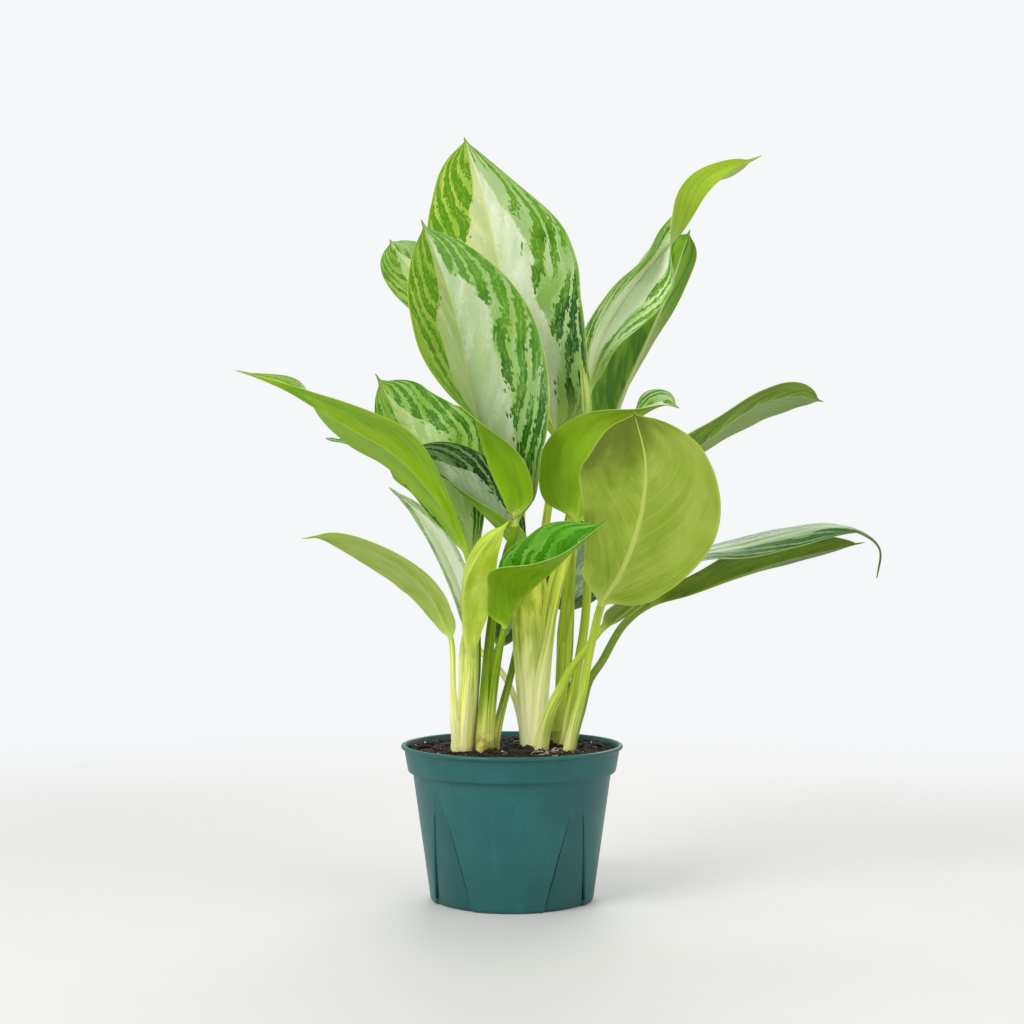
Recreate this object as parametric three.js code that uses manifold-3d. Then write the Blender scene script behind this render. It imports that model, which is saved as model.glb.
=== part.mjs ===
// A chinese evergreen in its nursery pot.
// Millimetres, +Z up. The origin is the middle of the pot's foot, on the surface it stands on,
// and the plant's front faces -Y. Every leaf is one solid with its own petiole.
import * as THREE from 'three';
import { mergeVertices } from 'three/addons/utils/BufferGeometryUtils.js';
import Module from 'manifold-3d';

const wasm = await Module();
wasm.setup();

// ---------------------------------------------------------------- driving dimensions

const GAP = 0.35; // clear space between two touching pieces

const POT = {
  height: 106.5,
  lipRadius: 76,
  lipHeight: 3,
  bandTopRadius: 73.8,
  bandFootRadius: 71.2,
  bandHeight: 18.5,
  bodyTopRadius: 68,
  bodyFootRadius: 56,
  cornerRadius: 2.6,
  wall: 1.4,
  floor: 2.2,
};

const PANEL = {
  count: 4,
  firstAngle: -48, // degrees from the front, seen from above, to the right
  apexHeight: 81,
  footHalfAngle: 20,
  apexHalfAngle: 2,
  stepAngle: 1,
  recess: 2.6,
  wallColumns: 3,
};

const SLOT = { foot: 5, top: 47, width: 1.5, depth: 9 };
const DRAIN = { count: 8, radius: 3.5, ringRadius: 34, sides: 16 };

const SOIL = { top: 102.3, ripple: 0.9, rings: [0.93, 0.82, 0.69, 0.55, 0.4, 0.24, 0.1] };

const PETIOLE_STEP = 0.75; // in stretches of its path, from one ring to the next

const BLADE = {
  thickness: 0.8,
  stations: [0.03, 0.07, 0.13, 0.2, 0.28, 0.37, 0.47, 0.57, 0.67, 0.77, 0.86, 0.93, 1],
  neck: 0.07, // share of the blade over which the round petiole flattens into it
  trail: 0.04, // share of the blade's length in the thin trailing tip
  trailHalfWidth: 2.6,
  tipHalfWidth: 0.7,
  rib: 0.9, // how far the midrib stands out below the blade's base, in petiole radii
  ribEnd: 0.87, // place along the blade where the midrib has sunk into it
};

const COLOURS = {
  pot: 0x2f6a62,
  soil: 0x2a1b15,
  stem: 0xa9bf62,
  variegated: 0x7fae74,
  lime: 0x8fae3a,
  dark: 0x3f6b35,
};

// ---------------------------------------------------------------- the plant's own measures

// A stem's path: x, y, z, then its half width and half depth there.
const STEMS = [
  {
    name: 'stem_left',
    path: [
      [-35, -9, 60, 8, 6],
      [-35, -9, 100, 8, 6],
      [-33, -8, 124, 7.5, 5.5],
      [-31, -7, 146, 6.2, 4.8],
      [-30, -7, 166, 4.6, 4],
      [-29, -7, 182, 2.8, 2.8],
    ],
  },
  {
    name: 'stem_centre_left',
    path: [
      [-18, -8, 60, 6.4, 5.4],
      [-18, -8, 102, 6.4, 5.4],
      [-17, -8, 138, 4.8, 4.6],
      [-16, -9, 166, 3.8, 3.8],
      [-14, -10, 186, 2.8, 2.8],
    ],
  },
  {
    name: 'stem_centre_fan',
    path: [
      [16, 10, 60, 9, 6],
      [16, 10, 100, 9, 6],
      [14, 10, 134, 10.3, 6],
      [14, 10, 168, 13.8, 6],
      [13, 11, 192, 13.8, 5.6],
      [13, 12, 208, 12.6, 5],
      [16, 15, 228, 8, 4.2],
      [20, 20, 248, 3.4, 3.4],
    ],
  },
  {
    name: 'stem_right_cane',
    path: [
      [34, 25, 60, 5, 5],
      [34, 25, 100, 5, 5],
      [33, 25, 109, 5, 5],
      [33, 25, 113, 6.4, 6.2],
      [33, 25, 117, 5, 5],
      [35, 25, 147, 4.6, 4.6],
      [37, 25, 180, 6, 4.8],
      [40, 26, 211, 4.6, 4.2],
      [42, 27, 238, 3.2, 3.2],
    ],
  },
];

// A leaf: the petiole's path, the midrib's path, the blade's greatest half width and where along
// the blade it lies, how sharply it then narrows, the roll of its upper side (see leafFrame), and
// how far the left and right halves fold up from flat. Lists run evenly from base to tip.
const LEAVES = [
  {
    name: 'leaf_back_tall',
    look: 'variegated',
    petiole: [[17, 14, 166], [19, 20, 204], [23, 28, 252], [28, 33, 287]],
    midrib: [[31, 36, 315], [16, 42, 361], [-1, 48, 407], [-12, 53, 450], [-21, 58, 490], [-34, 62, 531]],
    radius: 2.8,
    halfWidth: 53,
    widest: 0.53,
    tip: 0.72,
    roll: [-80, -80, -82, -86],
    left: [30, 17, 15, 15],
    right: [30, 15, 12, 12],
    leftShare: [0.8, 0.83, 0.87, 0.92, 0.98, 1.05, 1.3],
    rightShare: [2, 1.2, 1.03, 1.03, 0.95, 0.62, 0.4],
    trail: 0.02,
  },
  {
    name: 'leaf_front_tall',
    look: 'variegated',
    petiole: [[-17, -6, 137], [-16, -9, 168], [-12, -12, 202], [-3, -16, 239]],
    midrib: [
      [2, -18, 256], [-15, -20, 299], [-27, -20, 341], [-36, -16, 389], [-47, -10, 427],
      [-62, -2, 465],
    ],
    radius: 2.9,
    halfWidth: 55,
    widest: 0.46,
    tip: 0.9,
    roll: [-90, -90, -90],
    left: [150, 125, 90, 62, 52, 42, 30],
    right: [30, 20, 8, 6, 8],
    trail: 0.03,
  },
  {
    name: 'leaf_spear',
    look: 'lime',
    petiole: [[23, 6, 198], [34, 2, 243], [45, 1, 287], [49, 2, 311]],
    midrib: [[50, 3, 325], [49, 4, 349], [47, 5, 370]],
    radius: 2.4,
    halfWidth: 4.6,
    widest: 0.35,
    tip: 0.9,
    roll: [-70, -70],
    left: [50, 50],
    right: [50, 50],
  },
  {
    name: 'leaf_right_high_twist',
    look: 'variegated',
    petiole: [[39, 28, 204], [44, 38, 245], [47, 50, 287], [51, 62, 323]],
    midrib: [
      [54, 67, 348], [62, 70, 383], [79, 67, 414], [102, 61, 443], [120, 55, 463], [139, 51, 492],
      [157, 46, 506], [175, 42, 515],
    ],
    radius: 2.8,
    halfWidth: 31,
    widest: 0.38,
    tip: 0.8,
    trail: 0.06,
    roll: [-80, -78, -78, -95, -160, -225, -240, -245],
    left: [30, 45, 62, 88, 82, 40, 30],
    right: [30, 45, 50, 42, 35, 35, 30],
    leftShare: [0.8, 1, 1, 0.62, 0.45, 0.9, 1],
    rightShare: [0.4, 0.6, 1, 1, 0.85, 0.8, 0.9],
  },
  {
    name: 'leaf_right_high_rear',
    look: 'dark',
    petiole: [[39, 22, 122], [43, 22, 142], [46.5, 24, 161], [52.5, 34, 205], [56, 58, 258]],
    midrib: [
      [63, 78, 305], [72, 84, 327], [83, 88, 355], [100, 93, 393], [114, 97, 424],
      [124, 100, 452], [130, 102, 470],
    ],
    radius: 2.7,
    halfWidth: 32,
    widest: 0.55,
    tip: 0.55,
    roll: [140, 140, 125, 110],
    left: [30, 30, 25],
    right: [30, 30, 25],
    leftShare: [0.4, 0.42, 0.55, 0.8, 1],
    rightShare: [1.8, 1.6, 1.1, 1, 1],
  },
  {
    name: 'leaf_centre_arched',
    look: 'lime',
    petiole: [[23, 6, 160], [25, 4, 177], [30, 0, 205], [38, -5, 236]],
    midrib: [
      [44, -10, 259], [47, -15, 274], [54, -26, 295], [67, -40, 315], [84, -54, 329],
      [99, -64, 336], [109, -72, 334],
    ],
    radius: 2.6,
    halfWidth: 36,
    widest: 0.36,
    tip: 0.9,
    roll: [85, 85, 95, 130, 180, 195],
    left: [15, 15, 20, 35, 70, 75, 60],
    right: [10, 10, 15],
    leftShare: [1, 1, 1, 0.85, 0.6, 0.8, 1.2],
    rightShare: [1, 1, 1, 0.8, 0.5, 0.35, 0.4],
  },
  {
    name: 'leaf_round_front',
    look: 'lime',
    petiole: [
      [37, -11, 94], [38, -11, 103], [41, -12, 119], [47, -16, 144], [51, -20, 165], [55, -25, 183],
    ],
    midrib: [
      [60, -33, 204], [70, -55, 223], [78, -82, 246], [83, -112, 273], [82.5, -141, 301],
      [74, -168, 329],
    ],
    radius: 3.1,
    halfWidth: 51,
    widest: 0.45,
    tip: 0.4,
    trail: 0.02,
    roll: [86, 86, 88, 90, 90],
    left: [12, 6, 0, -12, -28],
    right: [12, 10, 8, 8, 8],
    leftShare: [0.5, 0.74, 0.98, 1, 0.86],
    rightShare: [0.66, 0.6, 0.74, 0.95, 0.95],
  },
  {
    name: 'leaf_right_mid',
    look: 'variegated',
    petiole: [[20, 10, 136], [26, 12, 177], [35, 16, 228], [55, 18, 260]],
    midrib: [
      [89, 20, 287], [117, 22, 304], [135, 24, 315], [155, 26, 330], [177, 29, 342], [199, 32, 346],
      [218, 34, 342],
    ],
    radius: 2.4,
    halfWidth: 23,
    widest: 0.62,
    tip: 0.6,
    roll: [146, 146, 146, 150],
    left: [8, 8, 8],
    right: [8, 8, 8],
    leftShare: [1, 0.95, 1, 1.25, 1.6],
    rightShare: [1.5, 1.3, 0.78, 0.52, 0.56, 0.75, 0.9],
  },
  {
    name: 'leaf_right_low_droop',
    look: 'variegated',
    petiole: [
      [19, -1, 82], [19, -3, 104], [21, -7, 124], [25, -10, 136], [37, -12, 159], [49, -11.5, 172],
    ],
    midrib: [
      [60, -9, 185], [70, -8, 193], [94, -9, 212], [128, -11, 236], [158, -12, 243],
      [189, -11, 251], [217, -8, 256], [239, -4, 252], [252, -1, 240], [250, 0, 220],
    ],
    radius: 2.6,
    halfWidth: 18,
    widest: 0.55,
    tip: 0.9,
    trail: 0.22,
    roll: [150, 155, 176, 199, 204, 205, 205],
    left: [0, 0, 8, -5, -15, -15, -10],
    right: [0, 0, -10, -15, -17, -15, -10],
    rightShare: [4.5, 1.6, 1.1, 1, 1, 1, 1],
  },
  {
    name: 'leaf_right_low',
    look: 'dark',
    petiole: [
      [40, 1, 92], [41, 1, 104], [44, 1, 116], [48, 1, 130], [53, 2, 149], [62, 3, 163],
      [77, 5, 188],
    ],
    midrib: [
      [95, 6, 202], [123, 8, 210], [145, 10, 218], [168, 11, 226], [192, 12, 233], [220, 13, 239],
      [244, 14, 244],
    ],
    radius: 2.7,
    halfWidth: 21,
    widest: 0.5,
    tip: 0.7,
    roll: [150, 150, 150, 152],
    left: [20, 20, 20],
    right: [20, 20, 20],
    leftShare: [1, 1, 1.1, 1.5, 2.2, 1],
  },
  {
    name: 'leaf_small_front',
    look: 'lime',
    petiole: [[-13, -12, 138], [-10, -18, 162], [-7, -22, 179]],
    midrib: [
      [-5, -25, 188], [0, -33, 200], [11, -50, 214], [26, -68, 228], [43, -88, 245],
      [61, -110, 262],
    ],
    radius: 2.2,
    halfWidth: 25,
    widest: 0.36,
    tip: 0.9,
    roll: [180, 180, 180, 182],
    left: [65, 75, 80, 80, 70],
    right: [85, 85, 55, 25, 12],
    leftShare: [0.5, 0.7, 1.15, 1.35, 1.75, 1.3],
    rightShare: [0.8, 0.8, 1.2, 1.05, 0.9, 1],
  },
  {
    name: 'leaf_lime_front',
    look: 'lime',
    petiole: [[-34, -16, 111], [-31, -18, 138]],
    midrib: [[-29, -22, 167], [-32, -27, 192], [-31, -32, 217], [-21, -34, 239], [-2, -36, 260]],
    radius: 2.3,
    halfWidth: 19,
    widest: 0.5,
    tip: 0.9,
    roll: [90, 90],
    left: [10, 10],
    right: [82, 80, 50],
  },
  {
    name: 'leaf_left_low',
    look: 'lime',
    petiole: [[-37, -16, 104], [-39, -18, 125], [-40, -20, 151]],
    midrib: [
      [-41, -19, 178], [-47, -22, 196], [-56, -31, 212], [-70, -38, 226], [-92, -48, 240],
      [-117, -56, 250], [-138, -62, 249],
    ],
    radius: 2,
    halfWidth: 19,
    widest: 0.45,
    tip: 0.9,
    trail: 0.06,
    roll: [30, 22, 22, 20],
    left: [5, 5],
    right: [-8, -8],
    rightShare: [1.3, 1.5, 1.5, 1.3],
  },
  {
    name: 'leaf_left_long',
    look: 'lime',
    petiole: [[-30, -6, 107], [-26, -6, 144], [-26, -8, 192]],
    midrib: [
      [-29, -12, 232], [-39, -18, 258], [-55, -26, 281], [-76, -36, 303], [-102, -46, 319],
      [-126, -52, 333], [-146, -57, 345], [-164, -60, 353], [-181, -62, 359],
    ],
    radius: 2.7,
    halfWidth: 33,
    widest: 0.4,
    tip: 0.8,
    trail: 0.05,
    roll: [38, 35, 33, 32, 30, 28, 25, 20, 10],
    left: [8, 8],
    right: [8, 8, 8, 8, 8, 22, 68, 92, 80],
    leftShare: [0.15, 0.2, 0.48, 0.78, 0.88, 0.7, 0.4, 0.25, 0.3],
    rightShare: [0.75, 0.75, 0.8, 0.92, 0.92, 0.86, 0.66, 0.45, 0.5],
  },
  {
    name: 'leaf_left_mid',
    look: 'variegated',
    petiole: [[-29, -1, 108], [-26, 1, 137], [-24, 4, 164], [-25, 6, 198]],
    midrib: [
      [-28, 11, 232], [-31, 17, 258], [-42, 23, 287], [-53, 27, 305], [-65, 31, 317],
      [-80, 35, 335], [-96, 40, 362],
    ],
    radius: 2.6,
    halfWidth: 38,
    widest: 0.45,
    tip: 0.75,
    roll: [-80, -80, -80],
    left: [20, 20, 15],
    right: [12, 12, 10],
    leftShare: [0.6, 0.8, 0.88, 1, 1, 1, 1],
    rightShare: [0.35, 0.42, 0.8, 1, 1.05, 1.35, 2.6],
  },
  {
    name: 'leaf_left_dark',
    look: 'dark',
    petiole: [[-13, -2, 84], [-12, -1, 104], [-8, 4, 124], [0, 16, 156], [8, 18, 197]],
    midrib: [[11, 14, 228], [-2, 9, 246], [-17, 4, 262], [-34, 0, 278], [-53, -4, 295], [-78, -8, 308]],
    radius: 2.5,
    halfWidth: 24,
    widest: 0.45,
    tip: 0.8,
    roll: [-80, -80],
    left: [105, 120, 118, 100, 50, 15],
    right: [15, 15],
    leftShare: [1.2, 0.9, 0.45, 0.24, 0.3, 0.6],
    rightShare: [0.4, 0.85, 1.25, 1.55, 1.6],
  },
  {
    name: 'leaf_left_pale',
    look: 'variegated',
    petiole: [[12, 22, 79], [8, 25, 110], [1, 32, 135], [-9, 42, 154], [-23, 48, 167]],
    midrib: [
      [-31, 52, 180], [-35, 56, 201], [-40, 60, 218], [-48, 66, 235], [-58, 72, 251],
      [-71, 78, 267], [-89, 84, 282],
    ],
    radius: 2.2,
    halfWidth: 12,
    widest: 0.45,
    tip: 0.8,
    roll: [-90, -90],
    left: [35, 35],
    right: [35, 35],
    leftShare: [0.8, 0.7, 0.7, 0.9],
  },
  {
    name: 'leaf_top_left_peek',
    look: 'variegated',
    petiole: [[12, 15, 135], [11, 22, 162], [8, 38, 203], [7, 46, 259], [6, 52, 316], [0, 58, 358]],
    midrib: [[-9, 62, 384], [-34, 66, 403], [-57, 70, 422], [-77, 74, 443], [-88, 76, 460]],
    radius: 2.5,
    halfWidth: 23,
    widest: 0.6,
    tip: 0.6,
    roll: [-80, -80],
    left: [15, 15],
    right: [15, 15],
  },
  {
    name: 'leaf_back_low',
    look: 'dark',
    petiole: [[37, 32, 140], [38, 38, 168]],
    midrib: [[38, 46, 193], [40, 60, 208], [46, 84, 228], [54, 104, 244], [64, 118, 256]],
    radius: 2.4,
    halfWidth: 26,
    widest: 0.4,
    tip: 0.8,
    roll: [-90, -90],
    left: [15, 15],
    right: [15, 15],
  },
  {
    name: 'leaf_back_left',
    look: 'variegated',
    petiole: [[-34, -1, 140], [-33, 6, 167], [-28, 22, 204]],
    midrib: [[-29, 34, 240], [-51, 44, 270], [-76, 52, 293], [-105, 58, 310], [-133, 62, 317]],
    radius: 2.4,
    halfWidth: 12,
    widest: 0.42,
    tip: 1,
    roll: [-70, -70],
    left: [20, 20],
    right: [20, 20],
    leftShare: [0.5, 0.4, 0.4, 0.6],
  },
  {
    name: 'leaf_back_low_left',
    look: 'dark',
    petiole: [[-17, -2, 137], [-14, 10, 155]],
    midrib: [[-10, 30, 170], [-4, 44, 183], [3, 60, 202], [7, 74, 230]],
    radius: 2,
    halfWidth: 10,
    widest: 0.42,
    tip: 1,
    roll: [-90, -90],
    left: [15, 15],
    right: [15, 15],
  },
];

// ---------------------------------------------------------------- small helpers

const radians = (degrees) => THREE.MathUtils.degToRad(degrees);
const mix = THREE.MathUtils.lerp;
const point = ([x, y, z]) => new THREE.Vector3(x, y, z);

// The value at share s of a list of evenly spaced numbers, on a smooth line through them.
function along(list, s) {
  const line = new THREE.SplineCurve(list.map((value, i) => new THREE.Vector2(i, value)));
  return line.getPoint(THREE.MathUtils.clamp(s, 0, 1)).y;
}

// A closed solid through rings of equal count, with a fan at each end. Each square between two
// rings is split along one diagonal, or along the other where splitOther says so: faces that
// follow each other at a distance are then split alike.
function loft(rings, splitOther = () => false) {
  const count = rings[0].length;
  const positions = rings.flat().flatMap((p) => [p.x, p.y, p.z]);
  const triangles = [];
  for (let i = 0; i + 1 < rings.length; i += 1) {
    for (let j = 0; j < count; j += 1) {
      const a = i * count + j;
      const b = i * count + ((j + 1) % count);
      const [c, d] = [b + count, a + count];
      if (splitOther(i, j)) triangles.push(a, b, c, a, c, d);
      else triangles.push(a, b, d, b, c, d);
    }
  }
  for (const last of [false, true]) {
    const ring = last ? rings[rings.length - 1] : rings[0];
    const start = last ? (rings.length - 1) * count : 0;
    const middle = ring.reduce((sum, p) => sum.add(p), new THREE.Vector3()).divideScalar(count);
    const hub = positions.length / 3;
    positions.push(middle.x, middle.y, middle.z);
    for (let j = 0; j < count; j += 1) {
      const [a, b] = [start + j, start + ((j + 1) % count)];
      triangles.push(...(last ? [a, b, hub] : [b, a, hub]));
    }
  }
  return solidOf(positions, triangles);
}

function solidOf(positions, triangles) {
  return new wasm.Manifold(
    new wasm.Mesh({
      numProp: 3,
      vertProperties: new Float32Array(positions),
      triVerts: new Uint32Array(triangles),
    }),
  );
}

function solidOfGeometry(geometry, matrix) {
  const bare = geometry.clone().applyMatrix4(matrix);
  bare.deleteAttribute('normal');
  bare.deleteAttribute('uv');
  const merged = mergeVertices(bare, 1e-4);
  return solidOf([...merged.attributes.position.array], [...merged.index.array]);
}

function geometryOf(solid) {
  const mesh = solid.getMesh();
  const geometry = new THREE.BufferGeometry();
  geometry.setAttribute('position', new THREE.BufferAttribute(mesh.vertProperties.slice(), 3));
  geometry.setIndex(new THREE.BufferAttribute(mesh.triVerts.slice(), 1));
  geometry.computeVertexNormals();
  return geometry;
}

function biggestBody(solid) {
  return solid.decompose().reduce((best, body) => (body.volume() > best.volume() ? body : best));
}

// ---------------------------------------------------------------- pot

function panelHalfAngle(z) {
  const share = Math.min(z / PANEL.apexHeight, 1);
  return mix(PANEL.footHalfAngle, PANEL.apexHalfAngle, share);
}

function panelRecess(z) {
  return PANEL.recess * Math.max(0, 1 - z / PANEL.apexHeight);
}

// Columns round the pot at height z: angle from the front, and 1 inside a panel or 0 outside.
function columns(z) {
  const half = panelHalfAngle(z);
  const inner = half - PANEL.stepAngle;
  const spread = 360 / PANEL.count;
  const list = [];
  for (let p = 0; p < PANEL.count; p += 1) {
    const middle = PANEL.firstAngle + p * spread;
    list.push([middle - half, 0], [middle - inner, 1], [middle - inner / 2, 1], [middle, 1]);
    list.push([middle + inner / 2, 1], [middle + inner, 1], [middle + half, 0]);
    for (let w = 1; w <= PANEL.wallColumns; w += 1) {
      list.push([middle + mix(half, spread - half, w / (PANEL.wallColumns + 1)), 0]);
    }
  }
  return list;
}

function potRing(z, radius, lift = () => 0) {
  return columns(z).map(([angle, inPanel]) => {
    const r = radius - inPanel * panelRecess(z);
    const x = r * Math.sin(radians(angle));
    const y = -r * Math.cos(radians(angle));
    return new THREE.Vector3(x, y, z + lift(x, y));
  });
}

function bodyRadius(z) {
  const rise = (z - POT.cornerRadius) / (POT.height - POT.bandHeight - POT.cornerRadius);
  return mix(POT.bodyFootRadius, POT.bodyTopRadius, rise);
}

function makePot() {
  const bandFoot = POT.height - POT.bandHeight;
  const lipFoot = POT.height - POT.lipHeight;
  const outside = [
    [0, POT.bodyFootRadius - POT.cornerRadius],
    [POT.cornerRadius * 0.35, POT.bodyFootRadius - POT.cornerRadius * 0.3],
    [POT.cornerRadius, POT.bodyFootRadius],
    [26, bodyRadius(26)],
    [54, bodyRadius(54)],
    [PANEL.apexHeight, bodyRadius(PANEL.apexHeight)],
    [bandFoot, POT.bodyTopRadius],
    [bandFoot + 0.6, POT.bandFootRadius],
    [lipFoot, POT.bandTopRadius],
    [lipFoot + 0.7, POT.lipRadius - 0.4],
    [POT.height - 0.9, POT.lipRadius],
    [POT.height, POT.lipRadius - 0.9],
  ];
  const inside = [
    [POT.height, POT.bandTopRadius - 0.6],
    [lipFoot, POT.bandTopRadius - POT.wall],
    [bandFoot + 1.4, POT.bandFootRadius - POT.wall],
    [bandFoot - 0.8, POT.bodyTopRadius - POT.wall],
    [PANEL.apexHeight - 1, bodyRadius(PANEL.apexHeight - 1) - POT.wall],
    [54, bodyRadius(54) - POT.wall],
    [26, bodyRadius(26) - POT.wall],
    [POT.floor + 2, bodyRadius(POT.floor + 2) - POT.wall],
    [POT.floor, bodyRadius(POT.floor) - POT.wall - 1.6],
  ];
  const rings = [...outside, ...inside].map(([z, r]) => potRing(z, r));
  let pot = loft(rings, (i) => i < outside.length);
  for (const cutter of [...slotCutters(), ...drainCutters()]) pot = pot.subtract(cutter);
  return pot;
}

// Narrow slots through both side steps of each panel, along the step.
function slotCutters() {
  const cutters = [];
  for (let p = 0; p < PANEL.count; p += 1) {
    for (const side of [-1, 1]) {
      const ends = [SLOT.foot, SLOT.top].map((z) => {
        const step = panelHalfAngle(z) - PANEL.stepAngle / 2;
        const angle = radians(PANEL.firstAngle + (p * 360) / PANEL.count + side * step);
        const r = bodyRadius(z) - POT.wall;
        return new THREE.Vector3(r * Math.sin(angle), -r * Math.cos(angle), z);
      });
      const rise = ends[1].clone().sub(ends[0]);
      const middle = ends[0].clone().add(ends[1]).divideScalar(2);
      const upward = rise.clone().normalize();
      const outward = new THREE.Vector3(middle.x, middle.y, 0).normalize();
      const sideways = new THREE.Vector3().crossVectors(outward, upward).normalize();
      outward.crossVectors(upward, sideways);
      const place = new THREE.Matrix4().makeBasis(sideways, outward, upward).setPosition(middle);
      const box = new THREE.BoxGeometry(SLOT.width, SLOT.depth, rise.length());
      cutters.push(solidOfGeometry(box, place));
    }
  }
  return cutters;
}

function drainCutters() {
  const upright = new THREE.Matrix4().makeRotationX(Math.PI / 2);
  return Array.from({ length: DRAIN.count }, (_, i) => {
    const angle = (2 * Math.PI * (i + 0.5)) / DRAIN.count;
    const hole = new THREE.CylinderGeometry(DRAIN.radius, DRAIN.radius, 3 * POT.floor, DRAIN.sides);
    const place = new THREE.Matrix4()
      .makeTranslation(DRAIN.ringRadius * Math.cos(angle), DRAIN.ringRadius * Math.sin(angle), 0)
      .multiply(upright);
    return solidOfGeometry(hole, place);
  });
}

// ---------------------------------------------------------------- soil

function soilLift(x, y) {
  const coarse = Math.sin(x * 0.21 + 1.3) * Math.cos(y * 0.17 - 0.6);
  const fine = Math.sin(x * 0.47 - y * 0.39 + 2.1);
  return SOIL.ripple * (0.65 * coarse + 0.35 * fine);
}

function makeSoil() {
  const bandFoot = POT.height - POT.bandHeight;
  const clear = POT.wall + GAP;
  const foot = POT.floor + GAP;
  const walls = [
    [foot, bodyRadius(foot) - clear - 2.4],
    [foot + 2.2, bodyRadius(foot + 2.2) - clear - 0.2],
    [26, bodyRadius(26) - clear],
    [54, bodyRadius(54) - clear],
    [PANEL.apexHeight - 1, bodyRadius(PANEL.apexHeight - 1) - clear],
    [bandFoot - 0.8, POT.bodyTopRadius - clear - 0.2],
    [bandFoot + 1.6, POT.bandFootRadius - clear - 0.2],
    [SOIL.top - 1.6, mix(POT.bandFootRadius, POT.bandTopRadius, 0.82) - clear - 0.1],
  ];
  const rim = walls[walls.length - 1][1];
  const surface = SOIL.rings.map((share) => potRing(SOIL.top, rim * share, soilLift));
  return loft([...walls.map(([z, r]) => potRing(z, r)), ...surface], () => true);
}

// ---------------------------------------------------------------- stems

const STEM_SIDES = 12;

function makeStem(stem, grow = 0) {
  const path = new THREE.CatmullRomCurve3(stem.path.map(point), false, 'centripetal');
  const stretches = stem.path.length - 1;
  const rings = [];
  for (const [place, row] of stem.path.entries()) {
    const share = place / stretches;
    const centre = path.getPoint(share);
    const forward = path.getTangent(share);
    const across = new THREE.Vector3(1, 0, 0).addScaledVector(forward, -forward.x).normalize();
    const deep = new THREE.Vector3().crossVectors(forward, across);
    const halfWidth = row[3] + grow;
    const halfDepth = row[4] + grow;
    rings.push(
      Array.from({ length: STEM_SIDES }, (_, j) => {
        const turn = (2 * Math.PI * j) / STEM_SIDES;
        return centre
          .clone()
          .addScaledVector(across, halfWidth * Math.cos(turn))
          .addScaledVector(deep, halfDepth * Math.sin(turn));
      }),
    );
  }
  return loft(rings);
}

// ---------------------------------------------------------------- leaves

// One face of a ring, from the left margin to the right: place across the half blade, and how far
// sideways and upwards that spot lies on the round petiole, in its radii.
const ACROSS = [
  { t: -1, side: -0.92, rise: 0.28 },
  { t: -0.5, side: -0.5, rise: 0.8 },
  { t: 0, side: 0, rise: 1 },
  { t: 0.5, side: 0.5, rise: 0.8 },
  { t: 1, side: 0.92, rise: 0.28 },
];

// The frame at a place on the leaf. A roll of 90 turns the upper side away from the plant's
// front, -90 turns it to the front, and 0 turns it to the right of a leaf that points up.
function leafFrame(leaf, curve, share, s) {
  const forward = curve.getTangent(share);
  const away = new THREE.Vector3(0, 1, 0).addScaledVector(forward, -forward.y).normalize();
  const aside = new THREE.Vector3().crossVectors(away, forward);
  const roll = radians(along(leaf.roll, s));
  const up = aside.multiplyScalar(Math.cos(roll)).addScaledVector(away, Math.sin(roll));
  const right = new THREE.Vector3().crossVectors(forward, up);
  return { centre: curve.getPoint(share), up, right };
}

// An oval that narrows into a thin trailing tip.
function halfWidthAt(leaf, s, side) {
  const body = 1 - (leaf.trail ?? BLADE.trail);
  const place = Math.min(s / body, 1);
  const fullness = (leaf.tip * leaf.widest) / (1 - leaf.widest);
  const rise = (place / leaf.widest) ** fullness;
  const fall = ((1 - place) / (1 - leaf.widest)) ** leaf.tip;
  const trail = mix(BLADE.trailHalfWidth, BLADE.tipHalfWidth, Math.max(0, (s - body) / (1 - body)));
  const share = along((side < 0 ? leaf.leftShare : leaf.rightShare) ?? [1, 1], s);
  return Math.max(leaf.halfWidth * share * rise * fall, trail);
}

// A point of the blade's section and the direction its upper side faces there.
function bladePoint(leaf, frame, s, t) {
  const fold = (side) => radians(along(side < 0 ? leaf.left : leaf.right, s));
  const facing = (side) => {
    const angle = fold(side);
    return frame.right
      .clone()
      .multiplyScalar(-side * Math.sin(angle))
      .addScaledVector(frame.up, Math.cos(angle));
  };
  if (t === 0) {
    return { place: frame.centre.clone(), normal: facing(-1).add(facing(1)).normalize() };
  }
  const side = Math.sign(t);
  const angle = fold(side);
  const reach = Math.abs(t) * halfWidthAt(leaf, s, side);
  const place = frame.centre
    .clone()
    .addScaledVector(frame.right, side * reach * Math.cos(angle))
    .addScaledVector(frame.up, reach * Math.sin(angle));
  return { place, normal: facing(side) };
}

function petioleRing(leaf, frame, radius) {
  const at = (spot, sign) =>
    frame.centre
      .clone()
      .addScaledVector(frame.right, spot.side * radius)
      .addScaledVector(frame.up, sign * spot.rise * radius);
  return [...ACROSS.map((spot) => at(spot, 1)), ...[...ACROSS].reverse().map((spot) => at(spot, -1))];
}

function bladeRing(leaf, frame, s, grow) {
  const half = BLADE.thickness / 2 + grow;
  const rib = BLADE.rib * leaf.radius * Math.max(0, 1 - s / BLADE.ribEnd);
  const at = (spot, sign) => {
    const { place, normal } = bladePoint(leaf, frame, s, spot.t);
    const extra = sign < 0 && spot.t === 0 ? rib : 0;
    return place.addScaledVector(normal, sign * (half + extra));
  };
  return [...ACROSS.map((spot) => at(spot, 1)), ...[...ACROSS].reverse().map((spot) => at(spot, -1))];
}

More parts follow.
